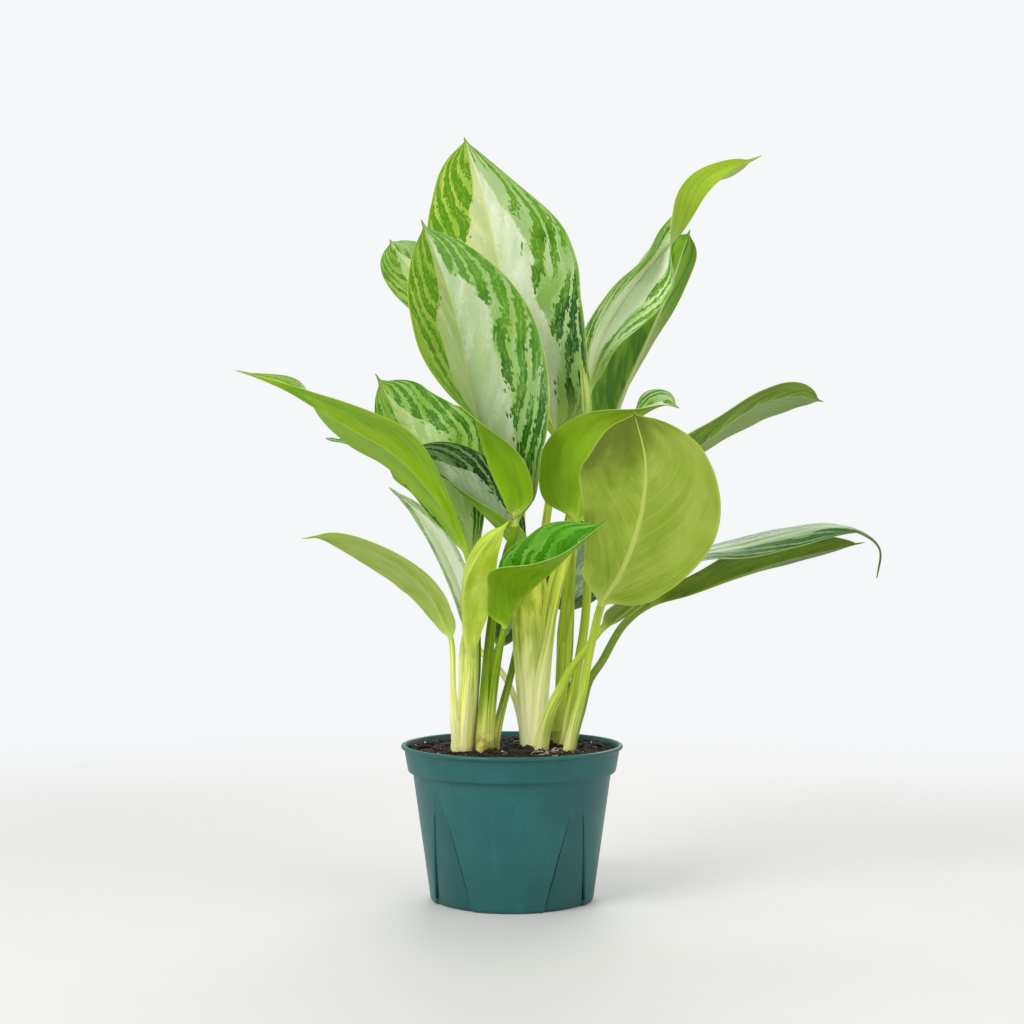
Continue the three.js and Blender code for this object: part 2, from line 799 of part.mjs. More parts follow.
function makeLeaf(leaf, grow = 0) {
  const wide = { ...leaf, halfWidth: leaf.halfWidth + grow };
  const points = [...leaf.petiole, ...leaf.midrib].map(point);
  const curve = new THREE.CatmullRomCurve3(points, false, 'centripetal');
  const base = leaf.petiole.length / (points.length - 1);
  const rings = [];
  for (let i = 0; i < leaf.petiole.length; i += PETIOLE_STEP) {
    const share = (base * i) / leaf.petiole.length;
    rings.push(petioleRing(leaf, leafFrame(leaf, curve, share, 0), leaf.radius + grow));
  }
  for (const s of BLADE.stations) {
    const frame = leafFrame(leaf, curve, mix(base, 1, s), s);
    const round = petioleRing(leaf, frame, leaf.radius + grow);
    const flat = bladeRing(wide, frame, s, grow);
    const blend = THREE.MathUtils.smoothstep(s, 0, BLADE.neck);
    rings.push(flat.map((p, j) => round[j].clone().lerp(p, blend)));
  }
  return loft(rings, (i, j) => j >= ACROSS.length);
}

// ---------------------------------------------------------------- assembly

function colouredMesh(name, solid, colour, roughness) {
  const material = new THREE.MeshStandardMaterial({ color: colour, roughness, metalness: 0 });
  const mesh = new THREE.Mesh(geometryOf(solid), material);
  mesh.name = name;
  return mesh;
}

const plant = new THREE.Group();
const grown = []; // what is already there, each a gap's width larger
let soil = makeSoil();

for (const stem of STEMS) {
  plant.add(colouredMesh(stem.name, makeStem(stem), COLOURS.stem, 0.5));
  grown.push(makeStem(stem, GAP));
}
for (const leaf of LEAVES) {
  let solid = makeLeaf(leaf);
  for (const other of grown) solid = solid.subtract(other);
  solid = biggestBody(solid);
  plant.add(colouredMesh(leaf.name, solid, COLOURS[leaf.look], 0.45));
  grown.push(makeLeaf(leaf, GAP));
}
for (const other of grown) soil = soil.subtract(other);
plant.add(colouredMesh('soil', biggestBody(soil), COLOURS.soil, 0.95));
plant.add(colouredMesh('pot', makePot(), COLOURS.pot, 0.5));

export default plant;
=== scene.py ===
"""A potted chinese evergreen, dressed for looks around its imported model.

Metres, +Z up. The origin is the middle of the pot's foot, and the plant's front faces -Y. The
tables below give the plant's own measures in millimetres.
"""

import logging
import math
import random
from dataclasses import dataclass, field
from enum import Enum
from typing import Callable, Optional, Sequence, Union

import bmesh
import bpy
from mathutils import Matrix, Vector, noise


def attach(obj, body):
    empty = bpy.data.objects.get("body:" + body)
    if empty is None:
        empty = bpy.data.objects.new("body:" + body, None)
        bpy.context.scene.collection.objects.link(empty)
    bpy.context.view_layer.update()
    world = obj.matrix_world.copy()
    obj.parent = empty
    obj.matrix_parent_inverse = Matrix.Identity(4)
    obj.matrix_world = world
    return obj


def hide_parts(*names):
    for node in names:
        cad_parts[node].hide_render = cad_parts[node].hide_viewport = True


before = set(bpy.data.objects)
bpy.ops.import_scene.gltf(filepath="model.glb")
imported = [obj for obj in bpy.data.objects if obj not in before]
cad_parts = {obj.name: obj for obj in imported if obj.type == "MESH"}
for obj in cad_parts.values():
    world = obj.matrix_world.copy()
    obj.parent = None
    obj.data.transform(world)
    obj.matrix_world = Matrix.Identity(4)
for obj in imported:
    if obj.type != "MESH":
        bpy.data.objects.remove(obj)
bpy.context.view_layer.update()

LOG = logging.getLogger("evergreen")
MM = 0.001
MAP = "blade"  # the UV map with each piece's own coordinates
Colour = tuple[float, float, float]
Row = tuple[float, ...]
Ring = list[Vector]
Grid = dict[tuple[int, int], bmesh.types.BMVert]
Number = Union["Field", float]


def srgb(red: int, green: int, blue: int) -> Colour:
    """A colour given as seen on a screen, 0 to 255, as linear light."""
    return tuple(((c / 255 + 0.055) / 1.055) ** 2.4 if c > 10 else c / 3295 for c in (red, green, blue))


def mix(a: float, b: float, share: float) -> float:
    """The value at a share of the way from a to b."""
    return a + (b - a) * share


def smoothstep(value: float, low: float, high: float) -> float:
    """0 at low, 1 at high, and a smooth rise between."""
    x = min(max((value - low) / (high - low), 0.0), 1.0)
    return x * x * (3 - 2 * x)


def hermite(a: float, b: float, slope_a: float, slope_b: float, w: float) -> float:
    """The value at a share w of a cubic from a to b with the given slopes."""
    bend = (2 * a - 2 * b + slope_a + slope_b) * w**3 + (-3 * a + 3 * b - 2 * slope_a - slope_b) * w**2
    return bend + slope_a * w + a


def along(values: Sequence[float], share: float) -> float:
    """A smooth line through evenly spaced numbers.

    Args:
        values: The numbers.
        share: The place among them, from 0 at the first to 1 at the last.
    Returns:
        The line's value there.
    """
    last = len(values) - 1
    place = last * min(max(share, 0.0), 1.0)
    i = min(int(place), last)
    before, a, b, after = (values[min(max(k, 0), last)] for k in range(i - 1, i + 3))
    return hermite(a, b, (b - before) / 2, (after - a) / 2, place - i)


@dataclass
class Route:
    """A smooth curve through points, with knots spaced by the root of their distance."""

    points: list[Vector]

    def place(self, share: float) -> Vector:
        """The curve's point at a share of it.

        Args:
            share: 0 to 1, each stretch between two points counting alike.
        Returns:
            The point.
        """
        last = len(self.points) - 1
        at = last * min(max(share, 0.0), 1.0)
        i = min(int(at), last - 1)
        p1, p2 = self.points[i], self.points[i + 1]
        p0 = self.points[i - 1] if i > 0 else p1 * 2 - p2
        p3 = self.points[i + 2] if i + 2 <= last else p2 * 2 - p1
        d0, d1, d2 = (max((b - a).length, 1e-6) ** 0.5 for a, b in ((p0, p1), (p1, p2), (p2, p3)))
        m1 = ((p1 - p0) / d0 - (p2 - p0) / (d0 + d1) + (p2 - p1) / d1) * d1
        m2 = ((p2 - p1) / d1 - (p3 - p1) / (d1 + d2) + (p3 - p2) / d2) * d1
        return Vector(hermite(p1[k], p2[k], m1[k], m2[k], at - i) for k in range(3))

    def heading(self, share: float, step: float = 1e-3) -> Vector:
        """The unit direction of travel at a share of the route."""
        return (self.place(min(share + step, 1.0)) - self.place(max(share - step, 0.0))).normalized()


# ------------------------------------------------------------------ meshes


def loft(rings: Sequence[Ring]) -> tuple[bmesh.types.BMesh, Grid]:
    """A closed, smooth body through rings of equal count, from a grid bent round and joined.

    Args:
        rings: The rings in millimetres, each in the same sense.
    Returns:
        The mesh, in metres, and its vertices by ring and column. Its UV map holds the ring and
        the column of each corner.
    """
    rows, columns = len(rings) - 1, len(rings[0])
    bm = bmesh.new()
    bmesh.ops.create_grid(bm, x_segments=columns, y_segments=rows, size=1.0)
    grid = {}
    for vertex in bm.verts:
        row, column = (vertex.co.y + 1) / 2 * rows, (vertex.co.x + 1) / 2 * columns
        grid[round(row), round(column)] = vertex
    layer = bm.loops.layers.uv.new(MAP)
    for face in bm.faces:
        for corner in face.loops:
            co = corner.vert.co
            corner[layer].uv = ((co.y + 1) / 2 * rows, (co.x + 1) / 2 * columns)
    for (row, column), vertex in grid.items():
        vertex.co = rings[row][column % columns] * MM
    bmesh.ops.weld_verts(bm, targetmap={grid[row, columns]: grid[row, 0] for row in range(rows + 1)})
    bmesh.ops.holes_fill(bm, edges=[edge for edge in bm.edges if edge.is_boundary], sides=0)
    bmesh.ops.recalc_face_normals(bm, faces=bm.faces)
    for face in bm.faces:
        face.smooth = True
    return bm, {key: vertex for key, vertex in grid.items() if key[1] < columns}


def mesh_from(name: str, bm: bmesh.types.BMesh) -> bpy.types.Mesh:
    """A mesh with what a bmesh holds, which is freed.

    Args:
        name: The mesh's name.
        bm: What it takes over.
    Returns:
        The mesh.
    """
    mesh = bpy.data.meshes.new(name)
    bm.to_mesh(mesh)
    bm.free()
    return mesh


def place_in_scene(name: str, data: Optional[bpy.types.ID]) -> bpy.types.Object:
    """A new object in the scene.

    Args:
        name: The object's name.
        data: Its mesh, light or camera.
    Returns:
        The object.
    """
    obj = bpy.data.objects.new(name, data)
    bpy.context.scene.collection.objects.link(obj)
    return obj


def piece(
    name: str, bm: bmesh.types.BMesh, finishes: Sequence[bpy.types.Material], node: str = ""
) -> bpy.types.Object:
    """Makes a mesh a finished piece of the object.

    Args:
        name: The piece's name.
        bm: Its mesh, in metres, in the part's frame.
        finishes: Its materials, in the order of its faces' material numbers.
        node: The CAD node that it stands for, if any.
    Returns:
        The piece's object.
    """
    mesh = mesh_from(name, bm)
    for finish in finishes:
        mesh.materials.append(finish)
    obj = place_in_scene(name, mesh)
    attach(obj, "root")
    if node:
        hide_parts(node)
    LOG.info("%s: %d faces", name, len(mesh.polygons))
    return obj


# ------------------------------------------------------------------ finishes


class Field:
    """A number, vector or colour that varies over a surface. Sums on a number add nodes."""

    def __init__(self, graph: "Graph", socket: bpy.types.NodeSocket) -> None:
        """Wraps a node's output."""
        self.graph = graph
        self.socket = socket

    def __add__(self, other: Number) -> "Field":
        """The sum."""
        return self.graph.calc("ADD", self, other)

    def __sub__(self, other: Number) -> "Field":
        """The difference."""
        return self.graph.calc("SUBTRACT", self, other)

    def __mul__(self, other: Number) -> "Field":
        """The product."""
        return self.graph.calc("MULTIPLY", self, other)

    def __gt__(self, other: Number) -> "Field":
        """1 where this is the greater, or else 0."""
        return self.graph.calc("GREATER_THAN", self, other)

    def __abs__(self) -> "Field":
        """The size without its sign."""
        return self.graph.calc("ABSOLUTE", self)


class Graph:
    """A material's nodes, added one at a time."""

    def __init__(self, name: str) -> None:
        """Starts a material with one surface shader.

        Args:
            name: The material's name.
        """
        self.material = bpy.data.materials.new(name)
        self.material.use_nodes = True
        self.tree = self.material.node_tree
        self.tree.nodes.clear()
        self.shader = self.node("ShaderNodeBsdfPrincipled")
        output = self.node("ShaderNodeOutputMaterial")
        self.tree.links.new(self.shader.outputs["BSDF"], output.inputs["Surface"])

    def node(self, kind: str, **settings: object) -> bpy.types.Node:
        """A new node.

        Args:
            kind: Its type.
            **settings: Its options by name.
        Returns:
            The node.
        """
        made = self.tree.nodes.new(kind)
        for key, value in settings.items():
            setattr(made, key, value)
        return made

    def feed(self, target: bpy.types.NodeSocket, value: object) -> None:
        """Gives a node's input its value.

        Args:
            target: The input.
            value: A field, which is linked to it, or a constant.
        """
        if isinstance(value, Field):
            self.tree.links.new(value.socket, target)
        elif target.type == "RGBA":
            target.default_value = (*value, 1.0)
        else:
            target.default_value = value

    def set(self, **values: object) -> None:
        """Gives the surface shader its values, by the names of its inputs with _ for spaces."""
        for name, value in values.items():
            self.feed(self.shader.inputs[name.replace("_", " ")], value)

    def calc(self, operation: str, a: Number, b: Number = 0.0) -> Field:
        """One sum.

        Args:
            operation: Which one.
            a: Its first number.
            b: Its second, where it has one.
        Returns:
            The result.
        """
        made = self.node("ShaderNodeMath", operation=operation)
        self.feed(made.inputs[0], a)
        self.feed(made.inputs[1], b)
        return Field(self, made.outputs[0])

    def ease(self, value: Number, low: Number, high: Number, start: float = 0.0, end: float = 1.0) -> Field:
        """A smooth rise.

        Args:
            value: What it follows.
            low: The value at which it starts.
            high: The value at which it ends, which may be the lower of the two.
            start: The result up to low.
            end: The result from high on.
        Returns:
            The result.
        """
        made = self.node("ShaderNodeMapRange", interpolation_type="SMOOTHSTEP")
        names = ("Value", "From Min", "From Max", "To Min", "To Max")
        for name, item in zip(names, (value, low, high, start, end)):
            self.feed(made.inputs[name], item)
        return Field(self, made.outputs["Result"])

    def blend(self, share: Number, a: object, b: object, kind: str = "MIX") -> Field:
        """Two colours mixed.

        Args:
            share: How much of the second shows.
            a: The first colour.
            b: The second.
            kind: How the second is laid over the first.
        Returns:
            The colour.
        """
        made = self.node("ShaderNodeMix", data_type="RGBA", blend_type=kind)
        for target, value in ((0, share), (6, a), (7, b)):
            self.feed(made.inputs[target], value)
        return Field(self, made.outputs[2])

    def vector(self, x: Number, y: Number, z: Number = 0.0) -> Field:
        """A vector from three numbers.

        Args:
            x: The first.
            y: The second.
            z: The third.
        Returns:
            The vector.
        """
        made = self.node("ShaderNodeCombineXYZ")
        for target, value in zip(made.inputs, (x, y, z)):
            self.feed(target, value)
        return Field(self, made.outputs[0])

    def split(self, vector: Field) -> tuple[Field, Field, Field]:
        """A vector or colour taken apart.

        Args:
            vector: The vector or colour.
        Returns:
            Its three numbers.
        """
        made = self.node("ShaderNodeSeparateXYZ")
        self.feed(made.inputs[0], vector)
        return tuple(Field(self, output) for output in made.outputs)

    def place(self) -> Field:
        """The point's place in the part's frame."""
        return Field(self, self.node("ShaderNodeTexCoord").outputs["Object"])

    def own(self) -> tuple[Field, Field]:
        """The point's place on the piece's own UV map."""
        return self.split(Field(self, self.node("ShaderNodeUVMap", uv_map=MAP).outputs[0]))[:2]

    def blade(self) -> tuple[Field, Field, Field]:
        """The point's place on its blade.

        Returns:
            The place along it (0 base, 1 tip), across it (-1 to 1), and across without the sign.
        """
        u, v = self.own()
        s, t = u * 2.0 - 1.0, v * 2.0 - 1.0
        return s, t, abs(t)

    def noise(self, vector: Field, scale: float, detail: float = 2.0, rough: float = 0.5) -> Field:
        """Smooth noise.

        Args:
            vector: The place that is looked up.
            scale: How fine the noise is.
            detail: How many finer layers it has.
            rough: How strong those are.
        Returns:
            0 to 1.
        """
        made = self.node("ShaderNodeTexNoise", noise_dimensions="3D")
        names = ("Vector", "Scale", "Detail", "Roughness")
        for name, item in zip(names, (vector, scale, detail, rough)):
            self.feed(made.inputs[name], item)
        return Field(self, made.outputs[0])

    def flecks(self, x: Number, y: Number, seed: float, detail: float = 1.0, rough: float = 0.5) -> Field:
        """Smooth noise over two numbers, 0 to 1, which the seed tells apart."""
        return self.noise(self.vector(x, y, seed), 1.0, detail, rough)

    def cells(self, x: Number, y: Number, seed: float) -> tuple[Field, Field, Field]:
        """Small cells over two numbers.

        Args:
            x: The first number.
            y: The second.
            seed: What tells these cells from others.
        Returns:
            Three random numbers, the same all over one cell.
        """
        made = self.node("ShaderNodeTexVoronoi", voronoi_dimensions="3D", feature="F1")
        self.feed(made.inputs["Vector"], self.vector(x, y, seed))
        self.feed(made.inputs["Scale"], 1.0)
        return self.split(Field(self, made.outputs["Color"]))

    def bump(self, height: Field, depth: float, strength: float) -> None:
        """Gives the surface small relief.

        Args:
            height: 0 to 1 over the surface.
            depth: What a height of 1 stands for, in metres.
            strength: Share of the relief that shows.
        """
        made = self.node("ShaderNodeBump")
        for name, value in (("Height", height), ("Distance", depth), ("Strength", strength)):
            self.feed(made.inputs[name], value)
        self.set(Normal=Field(self, made.outputs[0]))

    def vein(self, s: Field, a: Field, bend: float = 0.93, length: float = 0.3) -> Field:
        """A number that is the same all along one side vein, which curves towards the tip.

        Args:
            s: The place along the blade.
            a: The place across the half blade, 0 at the midrib.
            bend: How sharply the vein turns along the margin, up to 1.
            length: How far it runs on towards the tip.
        Returns:
            The vein's number.
        """
        return s - self.calc("LOGARITHM", a * -bend + 1.0, math.e) * -length


HALVES_APART = 31.5  # what keeps the lane numbers of a blade's two halves apart


def living(g: Graph, tone: Field, roughness: Number, glow: Colour = (0.002, 0.004, 0.0005)) -> None:
    """Gives a surface the shine of a leaf, and the light inside it.

    Args:
        g: The material.
        tone: Its colour.
        roughness: How dull it is.
        glow: How far red, green and blue light travel inside, in metres.
    """
    g.set(Base_Color=tone, Roughness=roughness, Specular_IOR_Level=0.22)
    g.set(Subsurface_Weight=0.1, Subsurface_Radius=glow)


@dataclass(frozen=True)
class Upper:
    """The upper side of a variegated leaf: a silver middle with a ragged edge, dark lanes between
    the side veins outside it, each with a thin pale line, and a thin dark margin."""

    silver: Colour = srgb(214, 226, 190)
    shine: Colour = srgb(226, 234, 216)  # painted glossy highlight, laid as the palest clouds in the silver
    middle: Colour = srgb(146, 188, 104)
    dark: Colour = srgb(88, 136, 4)
    deep: Colour = srgb(34, 84, 8)  # the dark lanes near the leaf's foot
    rib: Colour = srgb(190, 210, 120)
    reach: float = 0.42  # how far the silver reaches across the half blade
    streaks: float = 0.5  # share of the outer blade that is dark
    lanes: float = 6.2  # how many lanes there are along the blade
    warm_left: float = 0.0  # how much light comes through the left half
    warm_right: float = 0.0
    tint: Colour = (1.02, 1.0, 0.02)  # what the light through the blade multiplies its colour by

    def material(self, name: str, seed: float) -> bpy.types.Material:
        """The finish as a material.

        Args:
            name: The material's name.
            seed: What tells this leaf's pattern from the others'.
        Returns:
            The material.
        """
        g = Graph(name)
        s, t, a = g.blade()
        # small blocks, longer along the blade, shift what is looked up, so that edges are ragged
        jump, slide, chance = g.cells(s * 70.0, t * 36.0, seed)
        fray = g.flecks(s * 60.0, t * 22.0, seed, 2.0, 0.6)
        sway = g.flecks(s * 5.0, t * 2.0, seed + 4.4)
        ahead = s + (slide * 0.036 - 0.018)
        beside = a + (jump * 0.028 - 0.014) + (fray * 0.03 - 0.015)
        beside = g.calc("MINIMUM", beside, 1.0)
        # the lanes between the side veins, with numbers of their own on each half of the blade
        q = g.vein(ahead, beside, 0.72, 0.5)
        lane = q * self.lanes + (sway * 1.6 + seed * 0.37) + g.calc("SIGN", t) * HALVES_APART
        index = g.calc("FLOOR", lane)
        off = abs(g.calc("FRACT", lane) - 0.5)
        own = g.flecks(index * 2.37, ahead * 4.2, seed)
        other = g.flecks(index * 3.61, ahead * 6.0, seed + 9.2)
        # how far this point is outside the silver middle, in half widths
        swell = g.ease(s, -0.05, 0.25) * g.ease(s, 1.02, 0.55)
        edge = swell * self.reach + 0.05 + (other * 0.4 - 0.2)
        beyond = beside - edge
        # dark lanes, and a few dark islands along the silver's edge
        brim = 0.6 - 0.34 * self.streaks
        level = own + g.ease(beyond, -0.03, 0.02, -0.5, 0.0) + (chance * 0.024 - 0.012)
        width = g.ease(level, brim, brim + 0.2, 0.16, 0.38)
        dark = (level > brim) * g.ease(off, width, width - 0.05)
        island = (chance > 0.9) * g.ease(abs(beyond), 0.09, 0.05) * (sway > 0.52)
        dark = g.calc("MAXIMUM", dark, island)
        # ground colour: silver in the middle, greener outwards
        cloud = g.flecks(s * 9.0, t * 3.0, seed + 1.7, 3.0, 0.6)
        ripple = g.flecks(q * 15.0, t * 3.0, seed + 6.1, 2.0)
        silver = g.blend(g.ease(cloud, 0.35, 0.8, 0.0, 0.3), self.silver, self.middle)
        # painted glossy highlights, and painted shade between them, along soft ripples that follow the side
        # veins
        silver = g.blend(g.ease(ripple, 0.42, 0.7, 0.0, 0.45), silver, self.shine)
        silver = g.blend(g.ease(ripple, 0.48, 0.25, 0.0, 0.3), silver, self.middle)
        green = g.blend(g.ease(other, 0.3, 0.66, 0.0, 0.55), self.middle, self.silver)
        green = g.blend(g.ease(own, 0.5, 0.3, 0.0, 0.3), green, self.dark)
        tone = g.blend(g.ease(beyond, -0.02, 0.02), silver, green)
        # the dark lanes' own colour, each with a thin pale line
        deep = g.blend(g.ease(s + cloud, 0.75, 1.1), self.deep, self.dark)
        deep = g.blend(g.ease(cloud, 0.42, 0.75, 0.0, 0.2), deep, self.middle)
        line = g.ease(abs(off + (fray * 0.24 - 0.13)), 0.06, 0.02)
        deep = g.blend(line * g.ease(cloud, 0.3, 0.6, 0.1, 0.7), deep, self.middle)
        tone = g.blend(dark, tone, deep)
        # the margin, the pale midrib and the leaf's foot
        tone = g.blend(g.ease(a, 0.94, 0.965) * 0.6, tone, g.blend(0.35, self.dark, self.middle))
        tone = g.blend(g.ease(a, 0.985, 0.995, 0.0, 0.6), tone, self.rib)
        tone = g.blend(g.ease(a, g.ease(s, 0.0, 1.0, 0.05, 0.02), 0.005) * 0.6, tone, self.rib)
        tone = g.blend(g.ease(s, 0.16, 0.0, 0.0, 0.75), tone, self.rib)
        # light that comes through the blade
        warm = g.ease(t, -0.06, 0.06) * (self.warm_right - self.warm_left) + self.warm_left
        warm = warm * g.ease(beyond, -0.03, 0.02, 0.5, 1.0)
        tone = g.blend(warm, tone, g.blend(1.0, tone, self.tint, "MULTIPLY"))
        living(g, tone, g.ease(cloud, 0.2, 0.8, 0.3, 0.42))
        ridge = g.flecks(q * 22.0, t * 5.0, seed + 8.8, 3.0, 0.6)
        g.bump(cloud * 0.8 + ridge, 0.0009, 0.5)
        return g.material


@dataclass(frozen=True)
class Under:
    """The underside of a leaf: one green, a pale raised midrib and faint side veins."""

    base: Colour = srgb(150, 178, 62)
    shade: Colour = srgb(112, 146, 34)
    rib: Colour = srgb(188, 206, 92)
    mottle: float = 0.25  # how much of the upper side's pattern shows through
    pattern: Colour = srgb(90, 124, 30)
    veins: float = 0.16  # how clearly the side veins show
    tip_brown_and_shade: float = 0.0  # how much darker and browner the tip is: the leaf's own browning, and painted shade of a far half folding away
    rib_share: float = 0.5  # how clearly the midrib shows
    painted_light_left: float = 0.0  # how far the left half takes the pale colour: painted light on that half
    # the colour of the painted light on the left half
    pale: Colour = srgb(160, 176, 120)
    painted_light_end: float = 1.4  # the place along the blade where the painted light ends

    def material(self, name: str, seed: float) -> bpy.types.Material:
        """The finish as a material.

        Args:
            name: The material's name.
            seed: What tells this leaf's pattern from the others'.
        Returns:
            The material.
        """
        g = Graph(name)
        s, t, a = g.blade()
        q = g.vein(s, a)
        cloud = g.flecks(s * 5.0, t * 2.2, seed, 3.0, 0.55)
        fine = g.flecks(q * 70.0, t * 5.0, seed + 2.3, 2.0, 0.6)
        streak = g.flecks(q * 12.0, t * 2.2, seed + 5.9, 2.0)
        tone = g.blend(g.ease(cloud, 0.25, 0.75), self.base, self.shade)
        tone = g.blend(g.ease(streak, 0.5, 0.62) * self.mottle, tone, self.pattern)
        tone = g.blend(g.ease(fine, 0.4, 0.7) * 0.18, tone, self.shade)
        # painted light: the left half paler, in streaks, up to a place along the blade
        if self.painted_light_left:
            lit = g.ease(t, 0.02, -0.12) * g.ease(streak, 0.3, 0.6, 0.6, 1.0)
            lit = lit * g.ease(s, self.painted_light_end, self.painted_light_end - 0.2)
            tone = g.blend(lit * self.painted_light_left, tone, self.pale)
        # side veins
        line = g.ease(abs(g.calc("FRACT", q * 11.0) - 0.5), 0.09, 0.0) * g.ease(a, 1.0, 0.5)
        tone = g.blend(line * self.veins, tone, self.rib)
        # a darker olive tip: the leaf's own browning, and on the arched leaf painted shade where its far half
        # folds away
        if self.tip_brown_and_shade:
            high = g.ease(s + (cloud * 0.3 + t * 0.14), 0.84, 1.12) * self.tip_brown_and_shade
            tone = g.blend(high, tone, srgb(96, 112, 8))
        # the midrib, the leaf's foot and its margin
        width = g.ease(s, 0.0, 1.0, 0.075, 0.02)
        tone = g.blend(g.ease(a, width, width * 0.4) * self.rib_share, tone, self.rib)
        tone = g.blend(g.ease(s, 0.09, 0.0, 0.0, 0.85), tone, self.rib)
        tone = g.blend(g.ease(a, 0.96, 0.99, 0.0, 0.5), tone, self.rib)
        living(g, tone, 0.44)
        g.bump(line * self.veins + fine * 0.3, 0.0006, 0.6)
        return g.material


@dataclass(frozen=True)
class Stalk:
    """Leaf stalks and sheaths: cream at the foot, green above, with fine streaks along them."""

    foot: Colour
    top: Colour
    streak: Colour
    low: float = 0.104  # heights in metres between which the foot's colour fades
    high: float = 0.185
    streaks: float = 0.6  # how clearly the streaks show
    fibres: float = 26.0  # how many fine streaks there are round it
    stain: float = 0.5  # how brown the foot is, up to the height below
    stain_top: float = 0.108
    seed: float = 0.0

    def material(self, name: str) -> bpy.types.Material:
        """The finish as a material.

        Args:
            name: The material's name.
        Returns:
            The material.
        """
        g = Graph(name)
        place = g.place()
        z = g.split(place)[2]
        u, v = g.own()
        fibre = g.flecks(u * 9.0, v * self.fibres, self.seed, 3.0, 0.6)
        broad = g.flecks(u * 5.0, v * 7.0, self.seed + 4.0, 2.0)
        rise = g.ease(z + (broad * 0.06 - 0.03), self.low, self.high)
        tone = g.blend(rise, self.foot, self.top)
        strength = g.ease(rise, 0.0, 1.0, 0.25, 1.0) * self.streaks
        tone = g.blend(g.ease(broad, 0.42, 0.62) * strength, tone, self.streak)
        tone = g.blend(g.ease(fibre, 0.48, 0.68) * (strength * 0.65), tone, self.streak)
        stained = g.ease(z, self.stain_top, 0.101) * g.ease(g.noise(place, 160.0, 3.0, 0.6), 0.42, 0.6)
        tone = g.blend(stained * self.stain, tone, srgb(132, 84, 58))
        living(g, tone, 0.4, (0.002, 0.003, 0.0005))
        g.bump(fibre + broad * 0.6, 0.0005, 0.5)
        return g.material


@dataclass(frozen=True)
class PotPlastic:
    """Satin teal-green moulded plastic with faint dusty blotches, and painted shade in its recessed panels.
    """

    body: Colour = srgb(26, 90, 88)
    dust: Colour = srgb(54, 122, 118)
    # dark specks, a darker foot, and painted shade in the recessed panels
    dirt_and_shade: Colour = srgb(0, 44, 36)

    def material(self, name: str) -> bpy.types.Material:
        """The finish as a material.

        Args:
            name: The material's name.
        Returns:
            The material.
        """
        g = Graph(name)
        place = g.place()
        x, y, z = g.split(place)
        broad = g.noise(place, 22.0, 4.0, 0.6)
        tall = g.noise(g.vector(x, y, z * 0.25), 70.0, 3.0, 0.55)
        speck = g.noise(place, 1100.0, 3.0, 0.7)
        film = g.ease(broad, 0.4, 0.65) * g.ease(speck, 0.3, 0.8)
        tone = g.blend(film * 0.5, self.body, self.dust)
        tone = g.blend(g.ease(tall, 0.5, 0.8, 0.0, 0.25), tone, self.dust)
        tone = g.blend(g.ease(speck, 0.66, 0.74, 0.0, 0.4), tone, self.dust)
        tone = g.blend(g.ease(speck, 0.34, 0.28, 0.0, 0.4), tone, self.dirt_and_shade)
        # darker towards the foot, in blotches
        low = g.ease(z, 0.05, 0.0) * g.ease(broad, 0.4, 0.7)
        tone = g.blend(low * 0.5, tone, self.dirt_and_shade)
        # painted shade in the recessed panels, deepest towards their foot
        painted_panel_shade = g.ease(g.own()[1], 0.2, 1.0) * g.ease(z, 0.085, 0.05)
        tone = g.blend(painted_panel_shade * g.ease(tall, 0.3, 0.7, 0.06, 0.26), tone, self.dirt_and_shade)
        g.set(Base_Color=tone, Specular_IOR_Level=0.35, Roughness=g.ease(broad, 0.3, 0.7, 0.34, 0.5))
        g.bump(g.noise(place, 900.0) + tall * 1.5, 0.0002, 0.35)
        return g.material


@dataclass(frozen=True)
class Grain:
    """Loose matter: soil, bark, grit or root, mottled and rough."""

    base: Colour
    other: Colour
    scale: float = 400.0
    roughness: float = 0.85
    relief: float = 0.001

    def material(self, name: str) -> bpy.types.Material:
        """The finish as a material.

        Args:
            name: The material's name.
        Returns:
            The material.
        """
        g = Graph(name)
        place = g.place()
        coarse = g.noise(place, self.scale, 4.0, 0.65)
        fine = g.noise(place, self.scale * 5, 3.0, 0.7)
        tone = g.blend(g.ease(coarse, 0.42, 0.78), self.base, self.other)
        tone = g.blend(g.ease(fine, 0.55, 0.8, 0.0, 0.5), tone, self.other)
        g.set(Base_Color=tone, Roughness=self.roughness)
        g.bump(coarse + fine, self.relief, 0.8)
        return g.material


class Sheath(Enum):
    """The looks of the stalks and sheaths, by shoot and by where they stand in it."""

    LEFT = Stalk(srgb(250, 250, 176), srgb(226, 236, 116), srgb(160, 188, 46), seed=1.0)
    CENTRE_LEFT = Stalk(
        srgb(220, 222, 118), srgb(136, 168, 18), srgb(94, 128, 4), 0.1, 0.15,
        stain=0.85, stain_top=0.122, seed=2.0,
    )
    FAN = Stalk(
        srgb(255, 255, 198), srgb(232, 240, 100), srgb(140, 174, 12), 0.12, 0.21, 0.65, fibres=64.0, seed=3.0
    )
    CANE = Stalk(srgb(182, 188, 84), srgb(190, 208, 76), srgb(120, 148, 20), 0.1, 0.16, seed=4.0)
    FRONT = Stalk(srgb(228, 234, 152), srgb(192, 212, 66), srgb(142, 172, 36), 0.1, 0.15, seed=5.0)
    DARK = Stalk(srgb(178, 192, 92), srgb(116, 148, 30), srgb(76, 110, 12), 0.1, 0.15, seed=6.0)
    LOW = Stalk(srgb(196, 206, 120), srgb(128, 154, 52), srgb(98, 128, 34), 0.1, 0.14)


# ------------------------------------------------------------------ leaves

